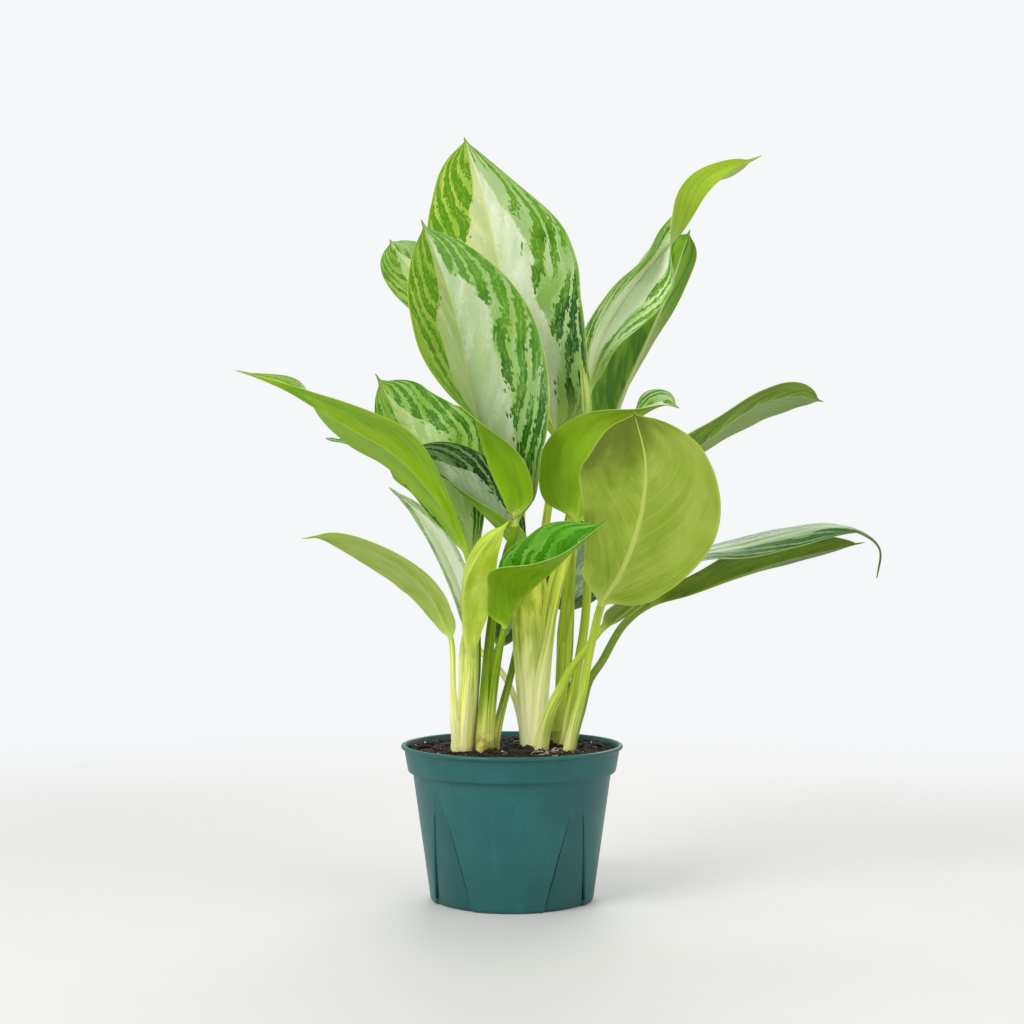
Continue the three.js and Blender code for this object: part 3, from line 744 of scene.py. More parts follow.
# Places across the half blade, from the midrib to the margin.
HALF_PLACES = (0.0, 0.03, 0.08, 0.15, 0.25, 0.37, 0.5, 0.63, 0.76, 0.88, 0.96, 1.0)
PLACES = tuple(-t for t in reversed(HALF_PLACES[1:])) + HALF_PLACES
BLADE_ROWS = 72
ROW_POWER = 1.12  # above 1, so that the blade's rows lie closer together near its foot
STALK_STEPS = 7  # rings to each stretch of a stalk
HALF_THICKNESS = 0.27
ROUND_ANGLE = 82.0  # degrees from the top of a round stalk to where its margins are
NECK = 0.07  # share of the blade over which the round stalk turns flat
TIP_HALF_WIDTH = 0.3
THINNING = (1.25, 0.6)  # factors on the thickness at the blade's foot and tip
RIB_DEPTH = 0.95  # how far the midrib stands out underneath at the foot, in stalk half widths
RIB_END = 0.9  # the place along the blade where it has sunk in
RIB_WIDTHS = (1.15, 0.5)  # half its width at the foot and tip, in stalk half widths
RIB_LEAST = 0.4  # half its width at the least, in millimetres
RIDGE = 0.35  # how far the midrib stands out on the upper side, in millimetres
WAVES = 5.5  # how fast the margins' waves follow each other along the blade
PUCKERS = (17, 4)  # how fast the unevenness between midrib and margin changes along and across
PUCKER = 0.35  # how strong that is, in millimetres
SHUT = 110.0  # degrees of fold, both halves together, at which a half has no bulge left


class Face(Enum):
    """The material slots of a leaf's mesh."""

    UPPER = 0
    UNDER = 1
    STALK = 2


@dataclass
class Section:
    """Where a section of a leaf lies: its middle, and where the upper side and right margin point."""

    middle: Vector
    up: Vector
    right: Vector


@dataclass
class Half:
    """One half of the blade at a section: which way it runs, which way it faces, and its width."""

    out: Vector
    facing: Vector
    reach: float


@dataclass
class Leaf:
    """One leaf: its stalk from the soil or sheath, and its blade.

    Attributes:
        name: The CAD node that the leaf stands for.
        stalk: Rows of x, y, z, half width and half depth, from the foot to the blade.
        midrib: Points of the midrib.
        half_width: The blade's greatest half width.
        widest: Where along the blade that is.
        tip: How sharply the blade narrows towards its tip.
        roll: Degrees that the upper side is turned, from base to tip.
        left: Degrees that the left half folds up, from base to tip.
        right: The same for the right half.
        upper: The look of the upper side.
        sheath: The look of the stalk.
        seed: What tells the leaf's pattern from the others'.
        under: The look of the underside.
        left_share: Factors on the left half's width, from base to tip.
        right_share: The same for the right half.
        trail: Share of the blade in its thin trailing tip.
        tail: Half the width of the trailing tip where it starts.
        bow: How far each half bulges up, as a share of its width.
        wave: How far the margins wave, in millimetres.
        wave_seed: Start of the waves, or 0 for a tenth of the seed.
    """

    name: str
    stalk: Sequence[Row]
    midrib: Sequence[Row]
    half_width: float
    widest: float
    tip: float
    roll: Sequence[float]
    left: Sequence[float]
    right: Sequence[float]
    upper: Upper
    sheath: Sheath
    seed: int
    under: Under = Under()
    left_share: Sequence[float] = (1, 1)
    right_share: Sequence[float] = (1, 1)
    trail: float = 0.04
    tail: float = 1.5
    bow: float = 0.06
    wave: float = 1.1
    wave_seed: float = 0.0
    route: Route = field(init=False)

    def __post_init__(self) -> None:
        """Lays the leaf's middle line."""
        self.route = Route([Vector(row[:3]) for row in (*self.stalk, *self.midrib)])
        self.wave_seed = self.wave_seed or self.seed / 10

    def section(self, index: float, roll: float) -> Section:
        """Where a section lies.

        Args:
            index: The place on the route, in points from its start.
            roll: Degrees that the upper side is turned there.
        Returns:
            The section.
        """
        share = index / (len(self.route.points) - 1)
        forward = self.route.heading(share)
        away = Vector((0, 1, 0))
        away = (away - forward * away.dot(forward)).normalized()
        turn = math.radians(roll)
        up = away.cross(forward) * math.cos(turn) + away * math.sin(turn)
        return Section(self.route.place(share), up, forward.cross(up))

    def reach(self, s: float, side: int) -> float:
        """The width of one half of the blade.

        Args:
            s: The place along the blade.
            side: -1 for the left half, 1 for the right.
        Returns:
            The width in millimetres.
        """
        body = 1 - self.trail
        place = min(s / body, 1.0)
        fullness = self.tip * self.widest / (1 - self.widest)
        rise = (place / self.widest) ** fullness
        fall = ((1 - place) / (1 - self.widest)) ** self.tip
        trail = mix(self.tail, TIP_HALF_WIDTH, max(0.0, (s - body) / (1 - body)))
        share = along(self.left_share if side < 0 else self.right_share, s)
        return max(self.half_width * share * rise * fall, trail)

    def half(self, at: Section, s: float, side: int) -> Half:
        """One half of the blade.

        Args:
            at: Where the section lies.
            s: The place along the blade.
            side: -1 for the left half, 1 for the right.
        Returns:
            The half.
        """
        fold = math.radians(along(self.left if side < 0 else self.right, s))
        out = at.right * (side * math.cos(fold)) + at.up * math.sin(fold)
        facing = at.right * (-side * math.sin(fold)) + at.up * math.cos(fold)
        return Half(out, facing, self.reach(s, side))

    def round_ring(self, at: Section, wide: float, deep: float) -> Ring:
        """An oval section of the stalk, with the blade's columns.

        Args:
            at: Where it lies.
            wide: Its half width.
            deep: Its half depth.
        Returns:
            The ring.
        """
        ring = []
        for sign in (1, -1):
            for t in PLACES[::sign]:
                turn = math.radians(ROUND_ANGLE * t)
                beside = at.middle + at.right * (wide * math.sin(turn))
                ring.append(beside + at.up * (sign * deep * math.cos(turn)))
        return ring

    def ripple(self, s: float, side: int, a: float) -> float:
        """How far the blade waves up or down.

        Args:
            s: The place along the blade.
            side: -1 for the left half, 1 for the right.
            a: The place across the half.
        Returns:
            The height in millimetres.
        """
        start = self.wave_seed
        margin = noise.noise(Vector((s * WAVES + start, side * 3.1, start)))
        between = noise.noise(Vector((s * PUCKERS[0] - a * PUCKERS[1] + start, side * 7.7, 4.4)))
        return self.wave * a**2 * 1.6 * margin + PUCKER * math.sin(math.pi * a) * between

    def blade_ring(self, at: Section, s: float) -> Ring:
        """A section of the blade.

        Args:
            at: Where it lies.
            s: The place along the blade.
        Returns:
            The ring: the upper side from left to right, then back underneath.
        """
        stalk_width = self.stalk[-1][3]
        thickness = HALF_THICKNESS * mix(*THINNING, s)
        rib = RIB_DEPTH * stalk_width * max(0.0, 1 - s / RIB_END)
        rib_width = max(stalk_width * mix(*RIB_WIDTHS, s), RIB_LEAST)
        halves = {side: self.half(at, s, side) for side in (-1, 1)}
        crest = (halves[-1].facing + halves[1].facing).normalized()
        fade = smoothstep(s, 0.0, 0.15) * smoothstep(s, 1.0, 0.85)
        bow = self.bow * (1 - (abs(along(self.left, s)) + abs(along(self.right, s))) / SHUT)
        ring = []
        for sign in (1, -1):
            for t in PLACES[::sign]:
                side = -1 if t < 0 else 1
                half, a = halves[side], abs(t)
                swell = bow * half.reach * math.sin(math.pi * a**0.8) * fade + self.ripple(s, side, a) * fade
                place = at.middle + half.out * (a * half.reach) + half.facing * swell
                across = a * half.reach / rib_width
                ridge = max(0.0, 1 - across * across)
                lift = sign * thickness - (rib * ridge if sign < 0 else RIDGE * ridge * min(rib, 1.0))
                normal = half.facing if a > 0.02 else crest
                ring.append(place + normal.lerp(crest, ridge * 0.8).normalized() * lift)
        return ring

    def rings(self) -> tuple[list[Ring], int]:
        """All sections.

        Returns:
            The sections from the foot to the tip, and how many of them are the stalk's.
        """
        made = []
        stretches = len(self.stalk)
        rows = stretches * STALK_STEPS
        first_roll = along(self.roll, 0)
        foot_roll = 90.0 if abs(first_roll - 90) < abs(first_roll + 90) else -90.0
        for i in range(rows):
            index = i / STALK_STEPS
            low = min(int(index), stretches - 1)
            high = min(low + 1, stretches - 1)
            wide, deep = (mix(self.stalk[low][k], self.stalk[high][k], index - low) for k in (3, 4))
            roll = mix(foot_roll, first_roll, smoothstep(index / stretches, 0.3, 0.95))
            made.append(self.round_ring(self.section(index, roll), wide, deep))
        for i in range(BLADE_ROWS + 1):
            s = (i / BLADE_ROWS) ** ROW_POWER
            at = self.section(stretches + s * (len(self.midrib) - 1), along(self.roll, s))
            flat = self.blade_ring(at, s)
            share = smoothstep(s, 0.0, NECK)
            if share < 1:
                oval = self.round_ring(at, *self.stalk[-1][3:])
                flat = [a.lerp(b, share) for a, b in zip(oval, flat)]
            made.append(flat)
        return made, rows

    def build(self) -> bpy.types.Object:
        """The leaf as one finished piece, with blade coordinates in its UV map.

        Returns:
            The piece's object.
        """
        rings, rows = self.rings()
        bm, grid = loft(rings)
        last, across = len(rings) - 1, len(PLACES)
        layer = bm.loops.layers.uv[MAP]
        for face in bm.faces:
            uvs = [corner[layer].uv for corner in face.loops]
            row, column = (sum(uv[k] for uv in uvs) / len(uvs) for k in (0, 1))
            side = Face.UPPER if column < across else Face.UNDER
            face.material_index = (Face.STALK if row < rows else side).value
            for uv in uvs:
                place = (uv.x - rows) / (last - rows)
                s = place**ROW_POWER if place > 0 else uv.x / rows - 1
                c = round(uv.y)
                t = PLACES[c] if c < across else -PLACES[min(c - across, across - 1)]
                uv.x, uv.y = (s + 1) / 2, (t + 1) / 2
        # the blade's margins stay sharp
        for row in range(rows + 2, last):
            for column in (0, across - 1, across, 2 * across - 1):
                edge = bm.edges.get((grid[row, column], grid[row + 1, column]))
                if edge:
                    edge.smooth = False
        finishes = [
            self.upper.material(f"{self.name}_upper", self.seed),
            self.under.material(f"{self.name}_under", self.seed),
            self.sheath.value.material(f"{self.name}_stalk"),
        ]
        return piece(f"blade_{self.name.removeprefix('leaf_')}", bm, finishes, self.name)


LEAVES = (
    Leaf(
        "leaf_back_tall",
        stalk=(
            (13, 10, 94, 5, 4), (11, 10, 125, 5.6, 4.2), (10, 10, 155, 6, 4.4), (13, 13, 185, 5, 4),
            (19, 20, 215, 3.6, 3.4), (23, 28, 252, 3, 3), (28, 33, 287, 2.8, 2.8),
        ),
        midrib=(
            (31, 36, 315), (16, 42, 361), (-1, 48, 407), (-12, 53, 450), (-21, 58, 490), (-34, 62, 531),
        ),
        half_width=53, widest=0.53, tip=0.72, trail=0.02,
        roll=(-80, -80, -82, -86), left=(30, 17, 15, 15), right=(30, 15, 12, 12),
        left_share=(0.8, 0.83, 0.87, 0.92, 0.98, 1.05, 1.3),
        right_share=(2, 1.2, 1.03, 1.03, 0.95, 0.62, 0.4),
        upper=Upper(
            silver=srgb(199, 209, 182), middle=srgb(138, 180, 96), dark=srgb(86, 138, 2),
            deep=srgb(26, 80, 2), reach=0.4, streaks=0.74, warm_left=0.75, warm_right=0.12,
        ),
        sheath=Sheath.FAN, seed=11, wave_seed=1.3,
    ),
    Leaf(
        "leaf_front_tall",
        stalk=(
            (-19, -9, 94, 6, 5), (-19, -9, 112, 6, 5), (-17.5, -8, 138, 5, 4.4), (-16, -9, 168, 3.6, 3.4),
            (-12, -12, 202, 3, 3), (-3, -16, 239, 2.9, 2.9),
        ),
        midrib=(
            (2, -18, 256), (-15, -20, 299), (-27, -20, 341), (-36, -16, 389), (-47, -10, 427),
            (-62, -2, 465),
        ),
        half_width=55, widest=0.46, tip=0.9, trail=0.03,
        roll=(-90, -90, -90), left=(150, 125, 90, 62, 52, 42, 30), right=(30, 20, 8, 6, 8),
        upper=Upper(
            silver=srgb(166, 186, 146), middle=srgb(132, 172, 88), dark=srgb(76, 132, 2),
            deep=srgb(34, 90, 2), shine=srgb(206, 218, 198), reach=0.44, streaks=0.78, warm_left=0.75,
            warm_right=0.12,
        ),
        under=Under(base=srgb(138, 184, 2), shade=srgb(112, 162, 0), veins=0.06),
        sheath=Sheath.CENTRE_LEFT, seed=23, wave_seed=2.9,
    ),
    Leaf(
        "leaf_spear",
        stalk=(
            (18, 9, 120, 3, 3), (21, 8, 165, 2.8, 2.8), (23, 6, 198, 2.4, 2.4), (34, 2, 243, 2.4, 2.4),
            (45, 1, 287, 2.4, 2.4), (49, 2, 311, 2.4, 2.4),
        ),
        midrib=((50, 3, 325), (49, 4, 349), (47, 5, 370)),
        half_width=5.6, widest=0.35, tip=0.9, wave=0.2,
        roll=(-70, -70), left=(50, 50), right=(50, 50),
        upper=Upper(
            silver=srgb(206, 222, 122), middle=srgb(180, 206, 80), dark=srgb(150, 184, 50),
            deep=srgb(136, 172, 40), reach=0.7, streaks=0.2,
        ),
        sheath=Sheath.FAN, seed=31,
    ),
    Leaf(
        "leaf_right_high_twist",
        stalk=(
            (35, 24, 94, 5, 5), (35, 24, 140, 5, 4.8), (37, 25, 170, 5.8, 4.8), (39, 26, 195, 4.6, 4.2),
            (40, 28, 207, 3.4, 3.4), (43, 38, 245, 2.9, 2.9), (47, 50, 287, 2.8, 2.8),
            (51, 62, 323, 2.8, 2.8),
        ),
        midrib=(
            (54, 67, 348), (62, 70, 383), (79, 67, 414), (102, 61, 443), (120, 55, 463), (139, 51, 492),
            (157, 46, 506), (175, 42, 515),
        ),
        half_width=31, widest=0.38, tip=0.8, trail=0.06,
        roll=(-80, -78, -78, -95, -160, -225, -240, -245), left=(30, 45, 62, 88, 82, 40, 30),
        right=(30, 45, 50, 42, 35, 35, 30),
        left_share=(0.8, 1, 1, 0.62, 0.45, 0.9, 1), right_share=(0.4, 0.6, 1, 1, 0.85, 0.8, 0.9),
        upper=Upper(
            silver=srgb(242, 250, 234), middle=srgb(152, 200, 116), dark=srgb(104, 160, 52),
            deep=srgb(84, 142, 34), shine=srgb(254, 255, 252), reach=0.42, streaks=0.52, lanes=7.0,
            warm_left=0.3, warm_right=0.2,
        ),
        under=Under(
            base=srgb(164, 194, 50), shade=srgb(140, 174, 24), rib=srgb(204, 216, 130), painted_light_left=0.6,
            pale=srgb(192, 204, 136), veins=0.06,
        ),
        sheath=Sheath.CANE, seed=47,
    ),
    Leaf(
        "leaf_right_high_rear",
        stalk=(
            (34, 22, 94, 4, 3.6), (38, 22, 121, 3.6, 3.4), (43, 22, 142, 3.4, 3.2),
            (46.5, 24, 161, 3.3, 3.2), (50, 28, 181, 3.2, 3.2), (52.5, 34, 205, 3, 3),
            (56, 58, 258, 2.8, 2.8),
        ),
        midrib=(
            (63, 78, 305), (72, 84, 327), (83, 88, 355), (100, 93, 393), (114, 97, 424), (124, 100, 452),
            (130, 102, 470),
        ),
        half_width=32, widest=0.55, tip=0.55,
        roll=(140, 140, 125, 110), left=(30, 30, 25), right=(30, 30, 25),
        left_share=(0.4, 0.42, 0.55, 0.8, 1), right_share=(1.8, 1.6, 1.1, 1, 1),
        upper=Upper(
            silver=srgb(132, 160, 90), middle=srgb(96, 140, 50), dark=srgb(60, 110, 18), reach=0.3,
            streaks=0.6,
        ),
        under=Under(
            base=srgb(122, 166, 26), shade=srgb(92, 142, 10), rib=srgb(206, 214, 160), mottle=0.7,
            pattern=srgb(44, 98, 0), painted_light_left=0.85, pale=srgb(156, 174, 104), painted_light_end=0.66, rib_share=0.8,
            veins=0.05,
        ),
        sheath=Sheath.FRONT, seed=53,
    ),
    Leaf(
        "leaf_centre_arched",
        stalk=(
            (17, 6, 94, 4.5, 3.6), (18, 5, 125, 5, 3.8), (20, 5, 150, 4.6, 3.6), (25, 4, 179, 3.4, 3.2),
            (30, 0, 205, 2.8, 2.8), (38, -5, 236, 2.6, 2.6),
        ),
        midrib=(
            (44, -10, 259), (47, -15, 274), (54, -26, 295), (67, -40, 315), (84, -54, 329), (99, -64, 336),
            (109, -72, 334),
        ),
        half_width=36, widest=0.36, tip=0.9,
        roll=(85, 85, 95, 130, 180, 195), left=(15, 15, 20, 35, 70, 75, 60), right=(10, 10, 15),
        left_share=(1, 1, 1, 0.85, 0.6, 0.8, 1.2), right_share=(1, 1, 1, 0.8, 0.5, 0.35, 0.4),
        upper=Upper(
            silver=srgb(206, 220, 184), middle=srgb(130, 172, 70), dark=srgb(70, 122, 20), lanes=6.0,
        ),
        under=Under(
            base=srgb(160, 198, 46), shade=srgb(132, 172, 14), rib=srgb(176, 204, 66), mottle=0.25,
            # the darker tip here is painted shade of the blade's far half folding away
            pattern=srgb(110, 150, 2), veins=0.05, tip_brown_and_shade=0.6,
        ),
        sheath=Sheath.FAN, seed=61,
    ),
    Leaf(
        "leaf_round_front",
        stalk=(
            (38, -10, 94, 4.2, 3.6), (38.5, -11, 103, 4, 3.4), (42.5, -12, 122, 3.2, 3),
            (48, -16, 144, 2.9, 2.9), (51.5, -20, 165, 2.8, 2.8), (55, -25, 183, 2.8, 2.8),
        ),
        midrib=(
            (60, -33, 204), (70, -55, 223), (78, -82, 246), (83, -112, 273), (82.5, -141, 301),
            (74, -168, 329),
        ),
        half_width=51, widest=0.45, tip=0.4, trail=0.02, bow=0.03, wave=0.8,
        roll=(86, 86, 88, 90, 90), left=(12, 6, 0, -12, -28), right=(12, 10, 8, 8, 8),
        left_share=(0.5, 0.74, 0.98, 1, 0.86), right_share=(0.66, 0.6, 0.74, 0.95, 0.95),
        upper=Upper(reach=0.45),
        under=Under(
            base=srgb(178, 200, 82), shade=srgb(150, 178, 48), rib=srgb(204, 218, 108), mottle=0.3,
            pattern=srgb(126, 158, 20), veins=0.3, tip_brown_and_shade=0.85, rib_share=1.0,
        ),
        sheath=Sheath.FRONT, seed=71,
    ),
    Leaf(
        "leaf_right_mid",
        stalk=(
            (20, 10, 94, 4, 3.6), (21, 10, 130, 4, 3.4), (24, 11, 160, 3.4, 3.2), (26, 12, 177, 3, 3),
            (35, 16, 228, 2.5, 2.5), (55, 18, 260, 2.4, 2.4),
        ),
        midrib=(
            (89, 20, 287), (117, 22, 304), (135, 24, 315), (155, 26, 330), (177, 29, 342), (199, 32, 346),
            (218, 34, 342),
        ),
        half_width=23, widest=0.62, tip=0.6,
        roll=(146, 146, 146, 150), left=(8, 8, 8), right=(8, 8, 8),
        left_share=(1, 0.95, 1, 1.25, 1.6), right_share=(1.5, 1.3, 0.78, 0.52, 0.56, 0.75, 0.9),
        upper=Upper(silver=srgb(150, 176, 110), middle=srgb(120, 156, 76), dark=srgb(80, 120, 40)),
        under=Under(
            base=srgb(136, 166, 62), shade=srgb(104, 138, 28), rib=srgb(204, 214, 156), mottle=0.5,
            veins=0.6, pattern=srgb(80, 112, 12), painted_light_left=0.55, pale=srgb(158, 176, 116),
        ),
        sheath=Sheath.FAN, seed=83,
    ),
    Leaf(
        "leaf_right_low_droop",
        stalk=(
            (19, 0, 94, 5.8, 4), (20.5, -2, 109, 5.4, 3.8), (26, -7, 129, 4.2, 3.4),
            (32.5, -10, 143.5, 3.6, 3), (39, -12, 157, 2.9, 2.8), (49, -11.5, 170, 2.6, 2.6),
        ),
        midrib=(
            (60, -9, 185), (70, -8, 193), (94, -9, 212), (128, -11, 236), (158, -12, 243), (189, -11, 251),
            (217, -8, 256), (239, -4, 252), (252, -1, 240), (250, 0, 220),
        ),
        half_width=18, widest=0.55, tip=0.9, trail=0.22, tail=3.0,
        roll=(150, 155, 176, 199, 204, 205, 250), left=(0, 0, 8, -5, -15, -15, -10),
        right=(0, 0, -10, -15, -17, -15, -10),
        right_share=(4.5, 1.6, 1.1, 1, 1, 1, 1),
        upper=Upper(
            silver=srgb(146, 170, 130), middle=srgb(90, 128, 70), dark=srgb(48, 92, 34),
            deep=srgb(34, 70, 24), shine=srgb(176, 192, 164), reach=0.3, streaks=0.95, lanes=5.0,
        ),
        under=Under(base=srgb(118, 146, 40), shade=srgb(88, 116, 20)),
        sheath=Sheath.FRONT, seed=97,
    ),
    Leaf(
        "leaf_right_low",
        stalk=(
            (40, 1, 92, 3.4, 3), (41, 1, 104, 3.2, 3), (44, 1, 116, 2.8, 2.8), (48, 1, 130, 2.7, 2.7),
            (53, 2, 149, 2.7, 2.7), (62, 3, 163, 2.7, 2.7), (77, 5, 188, 2.7, 2.7),
        ),
        midrib=(
            (95, 6, 202), (123, 8, 210), (145, 10, 218), (168, 11, 226), (192, 12, 233), (220, 13, 239),
            (244, 14, 244),
        ),
        half_width=21, widest=0.5, tip=0.7,
        roll=(150, 150, 150, 152), left=(20, 20, 20), right=(20, 20, 20),
        left_share=(1, 1, 1.1, 1.5, 2.2, 1),
        upper=Upper(
            silver=srgb(130, 160, 96), middle=srgb(88, 122, 40), dark=srgb(58, 90, 20), reach=0.35,
            streaks=0.5,
        ),
        under=Under(
            base=srgb(102, 132, 8), shade=srgb(78, 108, 0), rib=srgb(150, 172, 50), mottle=0.35,
            pattern=srgb(48, 76, 0),
        ),
        sheath=Sheath.LOW, seed=101,
    ),
    Leaf(
        "leaf_small_front",
        stalk=(
            (-16, -11, 104, 3.4, 3), (-13, -12, 138, 2.8, 2.6), (-10, -18, 162, 2.5, 2.3),
            (-7, -22, 179, 2.2, 2.2),
        ),
        midrib=(
            (-5, -25, 188), (0, -33, 200), (11, -50, 214), (26, -68, 228), (43, -88, 245), (61, -110, 262),
        ),
        half_width=25, widest=0.36, tip=0.9,
        roll=(180, 180, 180, 182), left=(65, 75, 80, 80, 70), right=(85, 85, 55, 25, 12),
        left_share=(0.5, 0.7, 1.15, 1.35, 1.75, 1.3), right_share=(0.8, 0.8, 1.2, 1.05, 0.9, 1),
        upper=Upper(
            silver=srgb(150, 204, 96), middle=srgb(92, 164, 20), dark=srgb(60, 140, 0),
            deep=srgb(44, 116, 0), shine=srgb(252, 255, 250), reach=0.12, streaks=0.7, lanes=5.0,
        ),
        under=Under(base=srgb(132, 178, 12), shade=srgb(104, 152, 2), rib=srgb(176, 202, 60)),
        sheath=Sheath.CENTRE_LEFT, seed=113,
    ),
    Leaf(
        "leaf_lime_front",
        stalk=((-33, -14, 94, 3.8, 3), (-33, -15, 111, 3.6, 3), (-31, -18, 138, 3.2, 2.6)),
        midrib=((-29, -22, 167), (-32, -27, 192), (-31, -32, 217), (-21, -34, 239), (-2, -36, 260)),
        half_width=19, widest=0.5, tip=0.9,
        roll=(90, 90), left=(10, 10), right=(82, 80, 50),
        upper=Upper(silver=srgb(180, 206, 100), middle=srgb(160, 194, 70), dark=srgb(130, 172, 40)),
        under=Under(
            base=srgb(206, 222, 96), shade=srgb(162, 192, 24), rib=srgb(204, 216, 118), mottle=0.2,
            pattern=srgb(150, 184, 16), veins=0.03,
        ),
        sheath=Sheath.LEFT, seed=127,
    ),
    Leaf(
        "leaf_left_low",
        stalk=(
            (-36, -14, 94, 4.8, 3.2), (-37, -15, 108, 4.3, 3), (-39, -18, 128, 3, 2.6),
            (-40, -20, 151, 2, 1.9),
        ),
        midrib=(
            (-41, -19, 178), (-47, -22, 196), (-56, -31, 212), (-70, -38, 226), (-92, -48, 240),
            (-117, -56, 250), (-138, -62, 249),
        ),
        half_width=19, widest=0.45, tip=0.9, trail=0.06,
        roll=(30, 22, 22, 20), left=(5, 5), right=(-8, -8),
        right_share=(1.3, 1.5, 1.5, 1.3),
        upper=Upper(silver=srgb(180, 200, 110), middle=srgb(150, 180, 76), dark=srgb(120, 156, 46)),
        under=Under(
            base=srgb(176, 200, 92), shade=srgb(146, 180, 52), rib=srgb(204, 220, 116), mottle=0.25,
            pattern=srgb(194, 212, 124), veins=0.1,
        ),
        sheath=Sheath.LEFT, seed=131,
    ),
    Leaf(
        "leaf_left_long",
        stalk=(
            (-31, -7, 94, 4, 3.4), (-30, -6, 107, 3.8, 3.2), (-26, -6, 144, 3, 2.8),
            (-26, -8, 192, 2.7, 2.6),
        ),
        midrib=(
            (-29, -12, 232), (-39, -18, 258), (-55, -26, 281), (-76, -36, 303), (-102, -46, 319),
            (-126, -52, 333), (-146, -57, 345), (-164, -60, 353), (-181, -62, 359),
        ),
        half_width=33, widest=0.4, tip=0.8, trail=0.05,
        roll=(38, 35, 33, 32, 30, 28, 25, 20, 10), left=(8, 8), right=(8, 8, 8, 8, 8, 22, 68, 92, 80),
        left_share=(0.15, 0.2, 0.48, 0.78, 0.88, 0.7, 0.4, 0.25, 0.3),
        right_share=(0.75, 0.75, 0.8, 0.92, 0.92, 0.86, 0.66, 0.45, 0.5),
        upper=Upper(silver=srgb(190, 210, 130), middle=srgb(150, 184, 80), dark=srgb(120, 160, 40)),
        under=Under(
            base=srgb(152, 192, 14), shade=srgb(112, 164, 0), rib=srgb(184, 208, 76), mottle=0.25,
            pattern=srgb(172, 202, 74), veins=0.06,
        ),
        sheath=Sheath.LEFT, seed=137,
    ),
    Leaf(
        "leaf_left_mid",
        stalk=(
            (-29, -3, 94, 3.8, 3), (-28, -1, 108, 3.6, 3), (-26, 1, 137, 3.2, 2.8), (-24, 4, 164, 2.8, 2.6),
            (-25, 6, 198, 2.6, 2.5),
        ),
        midrib=(
            (-28, 11, 232), (-31, 17, 258), (-42, 23, 287), (-53, 27, 305), (-65, 31, 317), (-80, 35, 335),
            (-96, 40, 362),
        ),
        half_width=38, widest=0.45, tip=0.75,
        roll=(-80, -80, -80), left=(20, 20, 15), right=(12, 12, 10),
        left_share=(0.6, 0.8, 0.88, 1, 1, 1, 1), right_share=(0.35, 0.42, 0.8, 1, 1.05, 1.35, 2.6),
        upper=Upper(
            silver=srgb(168, 196, 128), middle=srgb(136, 182, 70), dark=srgb(64, 124, 0),
            deep=srgb(40, 92, 0), reach=0.34, streaks=0.66, lanes=6.0, warm_left=0.25, warm_right=0.2,
        ),
        sheath=Sheath.DARK, seed=139,
    ),
    Leaf(
        "leaf_left_dark",
        stalk=(
            (-13, -3, 94, 4, 3.4), (-12, -2, 108, 3.9, 3.4), (-8, 3, 126, 3, 2.8), (0, 16, 156, 2.4, 2.4),
            (8, 18, 197, 2.4, 2.4),
        ),
        midrib=((11, 14, 228), (-2, 9, 246), (-17, 4, 262), (-34, 0, 278), (-53, -4, 295), (-78, -8, 308)),
        half_width=24, widest=0.45, tip=0.8,
        roll=(-80, -80), left=(105, 120, 118, 100, 50, 15), right=(15, 15),
        left_share=(1.2, 0.9, 0.45, 0.24, 0.3, 0.6), right_share=(0.4, 0.85, 1.25, 1.55, 1.6),
        upper=Upper(
            silver=srgb(160, 182, 142), middle=srgb(98, 138, 70), dark=srgb(20, 62, 4),
            deep=srgb(12, 50, 2), rib=srgb(96, 128, 50), reach=0.5, streaks=0.85, lanes=6.0,
        ),
        under=Under(base=srgb(164, 208, 76), shade=srgb(124, 176, 48), veins=0.04),
        sheath=Sheath.CENTRE_LEFT, seed=149,
    ),
    Leaf(
        "leaf_left_pale",
        stalk=(
            (9, 20, 94, 3.2, 3), (7, 22, 116, 2.6, 2.5), (1, 32, 137, 2.3, 2.3), (-9, 42, 154, 2.2, 2.2),
            (-23, 48, 167, 2.2, 2.2),
        ),
        midrib=(
            (-31, 52, 180), (-35, 56, 201), (-40, 60, 218), (-48, 66, 235), (-58, 72, 251), (-71, 78, 267),
            (-89, 84, 282),
        ),
        half_width=12, widest=0.45, tip=0.8,
        roll=(-90, -90), left=(35, 35), right=(35, 35),
        left_share=(0.8, 0.7, 0.7, 0.9),
        upper=Upper(
            silver=srgb(218, 227, 202), middle=srgb(170, 196, 140), dark=srgb(96, 146, 60), reach=0.7,
            streaks=0.4,
        ),
        sheath=Sheath.FAN, seed=151,
    ),
    Leaf(
        "leaf_top_left_peek",
        stalk=(
            (12, 15, 135, 2.6, 2.6), (11, 22, 162, 2.5, 2.5), (8, 38, 203, 2.5, 2.5),
            (7, 46, 259, 2.5, 2.5), (6, 52, 316, 2.5, 2.5), (0, 58, 358, 2.5, 2.5),
        ),
        midrib=((-9, 62, 384), (-34, 66, 403), (-57, 70, 422), (-77, 74, 443), (-88, 76, 460)),
        half_width=23, widest=0.6, tip=0.6,
        roll=(-80, -80), left=(15, 15), right=(15, 15),
        upper=Upper(
            silver=srgb(190, 212, 150), middle=srgb(130, 174, 76), dark=srgb(84, 140, 40), reach=0.3,
            streaks=0.5, warm_left=0.4,
        ),
        sheath=Sheath.FAN, seed=157,
    ),
    Leaf(
        "leaf_back_low",
        stalk=((37, 32, 140, 2.6, 2.6), (38, 38, 168, 2.4, 2.4)),
        midrib=((38, 46, 193), (40, 60, 208), (46, 84, 228), (54, 104, 244), (64, 118, 256)),
        half_width=26, widest=0.4, tip=0.8,
        roll=(-90, -90), left=(15, 15), right=(15, 15),
        upper=Upper(
            silver=srgb(140, 160, 128), middle=srgb(70, 104, 50), dark=srgb(28, 56, 14),
